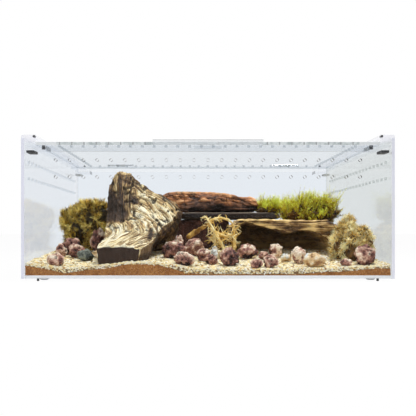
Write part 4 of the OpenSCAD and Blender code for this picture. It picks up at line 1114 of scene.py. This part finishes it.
def boulders(name, places, finish, slot, replaced, seed, tones, pitting=1.0, columns=92, rows=58):
    """Rocks on a grid of turn and tilt: an egg squeezed by noise at two sizes, with round pits pressed in."""
    bodies, tone, pit = [], [], []
    turn = -np.linspace(0, 2 * math.pi, columns, endpoint=False)[None]
    tilt = (np.linspace(-1, 1, rows + 2)[1:-1] * math.pi / 2)[:, None]
    way = np.stack([np.cos(tilt) * np.cos(turn), np.cos(tilt) * np.sin(turn), np.sin(tilt) + 0 * turn], -1)
    for number, (x, d, wide, deep, tall) in enumerate(places):
        rough_way = way * 20 + seed * 7 + number * 31
        squeeze = 1 + 0.24 * ripple(rough_way, 15.0, seed) + 0.16 * ripple(rough_way, 7.0, seed + 1)
        body = way * np.clip(squeeze, 0.7, 1.1)[..., None] * np.array([wide, deep, tall * 1.12]) / 2
        body = body + [x, d, ground(x, d) + tall * 0.47]
        pits = rise(0.5, 0.2, nearest(body, 6.0, seed + 2)) * rise(-0.3, 0.3, ripple(body, 11.0, seed + 6))
        small = rise(0.45, 0.2, nearest(body, 2.6, seed + 5)) * rise(-0.2, 0.4, ripple(body, 9.0, seed + 7))
        knobs = rough(body, 8.0, 4, seed + 8)
        body = body + way * (2.2 * knobs - pitting * (2.0 * pits + 0.6 * small))[..., None]
        body[..., 2] = np.maximum(body[..., 2], ground(x, d) - 2.0)
        bodies.append(body)
        # Painted light and shade: a rock is paler where it faces up and darker where it faces down.
        tone.append(with_ends(tones[number] + 0.55 * knobs + 0.2 * way[..., 2]))
        pit.append(with_ends(np.clip(pitting * (pits + 0.6 * small), 0, 1)))
    points, faces = bundle(bodies)
    add_piece(name, points, faces, finish, slot, replaced, tone=np.concatenate(tone), pit=np.concatenate(pit))


def from_wall(side, rocks):
    """Rocks measured from the left wall (-1) or the right one (1), placed in the tank."""
    return [[side * (WALL_X - rock[0]), *rock[1:]] for rock in rocks]


boulders("lava_rocks_left", from_wall(-1, LEFT_ROCKS), lava_finish, "lava_rock", "left_lava_rocks", 211,
         [0.6, 0.48, 0.5, 0.34, 0.42])
boulders("lava_rocks_middle", from_wall(1, MIDDLE_ROCKS), lava_finish, "lava_rock", "middle_lava_rocks", 231,
         [0.38, 0.5, 0.44, 0.46, 0.4, 0.42, 0.3])
boulders("lava_rocks_right", from_wall(1, RIGHT_ROCKS), lava_finish, "lava_rock", "right_lava_rocks", 251,
         [0.42, 0.46, 0.72, 0.36, 0.5, 0.74, 0.42, 0.45])
flint_finish = weathered("grey_stone", 0.002, 0.5, 0.75, 0.0008, [
    (0.1, 28, 32, 30), (0.5, 64, 69, 63), (0.8, 124, 129, 117)])
boulders("grey_stone_left", from_wall(-1, GREY_ROCKS), flint_finish, "grey_stone", "grey_stones", 271,
         [0.45], 0.3)
pebble = Finish("pale_stone")
pebble_fine, pebble_specks = pebble.noise(0.002, 5.0), (0.35 - pebble.cells(0.0024)).at_least(0.0)
pebble_base = pebble.ramp(pebble.field("tone") + (pebble_fine - 0.5) * 0.4, (0.0, 150, 110, 72),
                          (0.4, 206, 170, 120), (0.7, 228, 206, 166), (1.0, 214, 218, 214))
pebble_finish = pebble.solid(Base_Color=pebble.mix(pebble_specks * 1.6, pebble_base, shade(110, 80, 54)),
                             Roughness=0.6 + pebble_fine * 0.3, Normal=pebble.bump(pebble_fine, 0.0006))
boulders("pale_pebbles", PALE_ROCKS, pebble_finish, "pale_stone", "pale_stones", 291,
         [0.5, 0.55, 0.45, 0.95], 0.12)

# ---- Moss ----
# Dried moss in loose tufts: olive and ochre leaves in front of the left wall, upright yellow-green fronds on
# the hide and beside the bark, and pale straw tangles at the right. Each tuft has a near-black heart and
# leaves that darken towards their foot: painted shade inside the tuft.
MOSS_GAP = 0.4    # leaves keep this far from the glass


def spikes(roots, runs, widths):
    """Thin three-sided spikes: a small triangle square to each run, and a tip at its end."""
    length = np.linalg.norm(runs, axis=-1, keepdims=True)
    along = runs / np.maximum(length, 1e-9)
    helper = np.where(abs(along[:, 2:]) < 0.8, [[0.0, 0.0, 1.0]], [[1.0, 0.0, 0.0]])
    side = np.cross(along, helper)
    side = side / np.linalg.norm(side, axis=-1, keepdims=True)
    other = np.cross(along, side)
    turns = 2 * math.pi * (np.arange(3) / 3) + ANY_TURN * rng.random((len(roots), 1))
    flat = side[:, None] * np.cos(turns)[..., None] + 0.45 * other[:, None] * np.sin(turns)[..., None]
    foot = roots[:, None] + flat * widths[:, None, None] / 2 + runs[:, None] * 0.12
    points = np.concatenate([foot, (roots + runs)[:, None]], 1)
    faces = np.array([[0, 1, 3], [1, 2, 3], [2, 0, 3], [0, 2, 1]])
    return points.reshape(-1, 3), (faces[None] + 4 * np.arange(len(roots))[:, None, None]).reshape(-1, 3)


def mound(centre, size, uneven, lean, seed, columns=64, rows=34):
    """The heart of a tuft, a dark body that stands for the shade inside it, full at its foot: round as a
    power of cos(tilt), roughened at three sizes.

    uneven is the share of the size that the roughness moves. lean raises the side towards +x and lowers the
    other one.
    """
    turn = -np.linspace(0, 2 * math.pi, columns, endpoint=False)[None]
    tilt = (np.linspace(-0.9, 1, rows + 1)[:-1] * math.pi / 2)[:, None]
    full = np.cos(tilt) ** np.where(tilt < 0, 0.4, 0.8)
    way = np.stack([full * np.cos(turn), full * np.sin(turn), (1 + lean * np.cos(turn)) * np.sin(tilt)], -1)
    body = way * np.array(size) / 2 * (1 + uneven * rough(way * 30 + seed, 16.0, 3, seed))[..., None]
    body = body + np.array(centre) + [0, 0, size[2] / 2]
    body[..., 2] = np.maximum(body[..., 2], centre[2])
    return body


def tuft(name, heart, finish, slot, replaced, seed, bunches, sprigs, leaves, tall, lean, leaf, spread, light,
         mottle):
    """Fronds on a heart, in bunches: stems that share a foot and an aim, with leaves along them.

    A stem is up to tall mm long, and lean is the share of its aim that comes from the heart's surface, the
    rest being straight up. A leaf is leaf mm long and turns away from its stem by the share spread. Tones
    rise from foot to tip, as painted shade low in the tuft: light is added to the leaves', and mottle is how
    far they differ.
    """
    local = np.random.default_rng(seed)
    flat_points, flat_out = heart.reshape(-1, 3), facing(heart).reshape(-1, 3)
    weight = np.clip(flat_out[:, 2] + 0.6, 0.12, None)
    pick = local.choice(len(flat_points), bunches, p=weight / weight.sum())
    aim = flat_out[pick] * lean + [0, 0, 1 - lean] + local.normal(0, 0.2, (bunches, 3))
    reach = tall * (0.4 + 0.6 * local.random(bunches)) * (0.6 + 0.4 * np.clip(flat_out[pick, 2], 0, 1))
    hue = 0.7 * local.random(bunches) - 0.35
    mine = local.integers(0, bunches, sprigs)
    root = flat_points[pick][mine] + local.normal(0, 0.1 * tall, (sprigs, 3))
    way = aim[mine] + local.normal(0, 0.2, (sprigs, 3))
    way = way / np.linalg.norm(way, axis=1, keepdims=True)
    long = reach[mine] * (0.55 + 0.45 * local.random(sprigs))
    bend = local.normal(0, 0.14, (sprigs, 3)) * long[:, None]
    share = (np.arange(leaves) + 0.5) / leaves
    straight = way[:, None] * (long[:, None] * share)[..., None]
    stem = root[:, None] + straight + bend[:, None] * (share ** 2)[None, :, None]
    around = local.normal(0, 1, (sprigs, leaves, 3))
    around = around / np.linalg.norm(around, axis=-1, keepdims=True)
    run = (way[:, None] * (1 - spread) + around * spread) * (leaf * (1.15 - 0.6 * share))[None, :, None]
    roots = np.concatenate([stem.reshape(-1, 3), root])
    runs = np.concatenate([run.reshape(-1, 3), way * long[:, None] + bend])
    widths = np.concatenate([np.tile((1.1 + leaf * 0.1) * (1.1 - 0.5 * share), sprigs), np.full(sprigs, 1.2)])
    points, faces = spikes(roots, runs, widths)
    own = hue[mine] + 0.2 * local.random(sprigs) - 0.1 + 0.2 * rough(root, 14.0, 2, seed + 3)
    # Painted shade: leaves are darker towards the foot of their stem.
    leaf_tone = (0.06 + 0.84 * share)[None] + own[:, None] + light
    leaf_tone = leaf_tone + mottle * (local.random((sprigs, leaves)) - 0.5)
    heart_points, (heart_squares, heart_ends) = closed_tube(heart)
    # Painted shade: the heart is near black.
    heart_shade_tone = np.full(len(heart_points), 0.06) + 0.08 * ripple(heart_points, 5.0, seed)
    shift = len(points)
    points = within_walls(np.concatenate([points, heart_points]), MOSS_GAP)
    faces = [heart_squares + shift, np.concatenate([faces, heart_ends + shift])]
    tone = np.concatenate([np.repeat(leaf_tone.ravel(), 4), np.repeat(0.35 + own, 4), heart_shade_tone])
    add_piece(name, points, faces, finish, slot, replaced, False, tone=tone)


def moss_finish(name, *stops):
    """Thin dry leaves: their colour goes by how far up the tuft they grow, darker low down as painted shade.
    """
    return weathered(name, 0.006, 0.25, 0.7, 0.0004, stops, detail=3.0)


olive = moss_finish("olive_moss", (0.0, 26, 20, 8), (0.2, 78, 60, 20), (0.45, 172, 132, 38),
                    (0.7, 240, 202, 70), (1.0, 255, 242, 150))
green = moss_finish("green_moss", (0.0, 40, 28, 10), (0.2, 132, 92, 20), (0.45, 206, 174, 26),
                    (0.7, 222, 220, 44), (1.0, 240, 248, 104))
straw = moss_finish("tan_moss", (0.0, 50, 32, 12), (0.25, 170, 122, 52), (0.5, 248, 208, 112),
                    (0.8, 255, 240, 164), (1.0, 255, 250, 208))
left_heart = mound([-WALL_X + 57, 256, GROUND_BACK - 2], [92, 68, 92], 0.36, 0.04, 301)
tuft("olive_moss_tuft", left_heart, olive, "olive_moss", "left_moss", 302, bunches=420, sprigs=2500,
     leaves=12, tall=17, lean=0.8, leaf=15.0, spread=0.85, light=0.16, mottle=0.9)
ridge_heart = mound([HIDE_X + 165, HIDE_FRONT + 62, 94.0], [102, 80, 32], 0.25, 0.28, 311)
tuft("ridge_moss_tuft", ridge_heart, green, "green_moss", "ridge_moss", 312, bunches=150, sprigs=1350,
     leaves=24, tall=42, lean=0.33, leaf=7.5, spread=0.6, light=0.08, mottle=0.7)
slab_heart = mound([SLAB_X + 181, SLAB_D + 40, SLAB_Z + SLAB_T - 1], [56, 54, 13], 0.25, 0.0, 321)
tuft("slab_moss_tuft", slab_heart, green, "green_moss", "slab_moss", 322, bunches=46, sprigs=360, leaves=24,
     tall=32, lean=0.35, leaf=7.0, spread=0.6, light=0.34, mottle=0.5)
tan_heart = mound([WALL_X - 38, 98, 24.0], [56, 66, 56], 0.35, -0.22, 331)
tuft("tan_moss_tuft", tan_heart, straw, "tan_moss", "tan_moss", 332, bunches=240, sprigs=1900, leaves=12,
     tall=16, lean=0.8, leaf=12.0, spread=0.95, light=0.26, mottle=0.9)

# ---- Dried roots and twigs ----
# Straw-coloured dried roots stand in a tangle in front of the hide's left leg, and a thicker stick leans from
# them towards the driftwood.

# Each root: four points, by distance from the hide's left side, depth and height, then its two diameters.
ROOTS = [
    [[-6, 112, 30], [-14, 113, 55], [-30, 118, 80], [-44, 126, 93], 6, 3],
    [[-8, 112, 38], [-20, 110, 60], [-34, 113, 92], [-48, 118, 108], 5, 2.5],
    [[5, 126, 30.6], [14, 126, 50], [8, 130, 75], [5, 135, 95], 7, 4],
    [[-42, 122, 91], [-25, 126, 110], [-5, 128, 104], [6, 134, 93], 5, 4],
    [[-30, 115, 80], [-18, 122, 66], [-4, 126, 72], [8, 128, 66], 5, 4],
    [[-17, 121, 28.8], [-29, 121, 44], [-30, 123, 56], [-25, 124, 68], 4, 3],
    [[-82, 176, 66], [-66, 182, 74], [-52, 166, 82], [-43, 125, 92], 11, 6]]


MAIN_TONES = [0.6, 0.7, 0.5, 0.62, 0.6, 0.7, 0.3]
MAIN_RINGS, MAIN_SIDES = 60, 16
FINE_RINGS, FINE_SIDES = 16, 7
ROOTLETS = 200
PARENTS = [0, 0, 1, 2, 2, 4, 4, 5, 5, 3]    # the roots that rootlets grow from, the fuller ones named twice
TANGLE_DEPTH = 22


def bezier(points, t):
    """The curve of four points at t: (1-t)^3, 3t(1-t)^2, 3t^2(1-t) and t^3 of them, added up."""
    start, first, second, end = points
    return (1 - t) ** 3 * start + 3 * t * (1 - t) ** 2 * first + 3 * t * t * (1 - t) * second + t ** 3 * end


def sticks(paths, rows, sides, knots, seed):
    """Tubes along Bezier curves, one for each row of four points, thinning evenly, with knots and turns."""
    t = np.linspace(0, 1, rows)[None, :, None]
    middle = bezier([np.array([path[k] for path in paths], float)[:, None] for k in range(4)], t)
    thick = np.array([[path[4], path[5]] for path in paths], float)
    radius = (thick[:, :1] * (1 - t[..., 0]) + thick[:, 1:] * t[..., 0]) / 2
    wander = np.stack([ripple(middle, 9.0, seed + k) for k in range(3)], -1)
    middle = middle + wander * radius[..., None] * 0.5 * (t * (1 - t) * 4)
    along = np.gradient(middle, axis=1)
    along = along / np.linalg.norm(along, axis=-1, keepdims=True)
    side = np.cross(along, [[[0.31, 0.82, 0.48]]])
    side = side / np.linalg.norm(side, axis=-1, keepdims=True)
    other = np.cross(along, side)
    a = np.linspace(0, 2 * math.pi, sides, endpoint=False)
    ring = side[..., None, :] * np.cos(a)[:, None] + other[..., None, :] * np.sin(a)[:, None]
    lumps = 1 + knots * rough(middle[..., None, :] + ring * radius[..., None, None], 7.0, 2, seed + 4)
    ends = np.sqrt(np.clip(1 - (2 * t[..., 0] - 1) ** 8, 0.05, 1))
    return middle[..., None, :] + ring * (radius * ends)[..., None, None] * lumps[..., None]


main_roots = [[[x + HIDE_X, d, z] for x, d, z in path[:4]] + path[4:] for path in ROOTS]
local = np.random.default_rng(77)
rootlets = []
for _ in range(ROOTLETS):
    parent = main_roots[PARENTS[local.integers(0, len(PARENTS))]]
    t = local.random()
    deeper = TANGLE_DEPTH * local.random() ** 2
    base = bezier(np.array(parent[:4], float), t) + [0, deeper, 0]
    way = local.normal(0, 1, 3) * [1, 0.45, 0.9]
    way = way / np.linalg.norm(way) * (9 + 13 * local.random()) * (0.55 if base[2] > 90 else 1)
    twist = local.normal(0, 3.5, (2, 3))
    end = base + way
    end[2] = max(end[2], 33)
    rootlets.append([base, base + way * 0.35 + twist[0], base + way * 0.7 + twist[1], end, 2.4, 0.8,
                     deeper / TANGLE_DEPTH])
root_finish = weathered("straw_root", 0.003, 0.5, 0.7, 0.0008, [
    (0.0, 74, 48, 20), (0.3, 168, 122, 56), (0.55, 232, 192, 98), (0.8, 254, 240, 184)])
points, faces = bundle([*sticks(main_roots, MAIN_RINGS, MAIN_SIDES, 0.3, 401),
                        *sticks(rootlets, FINE_RINGS, FINE_SIDES, 0.25, 411)])
deep = np.array([path[6] for path in rootlets])
# Painted shade: rootlets further back in the tangle are darker.
rootlet_tones = 0.55 + 0.35 * local.random(ROOTLETS) - 0.4 * deep
root_tone = np.concatenate([np.repeat(MAIN_TONES, MAIN_RINGS * MAIN_SIDES + 2),
                            np.repeat(rootlet_tones, FINE_RINGS * FINE_SIDES + 2)])
add_piece("dried_root_tangle", points, faces, root_finish, "straw_root", "dried_roots",
          tone=root_tone + 0.22 * rough(points, 9.0, 2, 421))
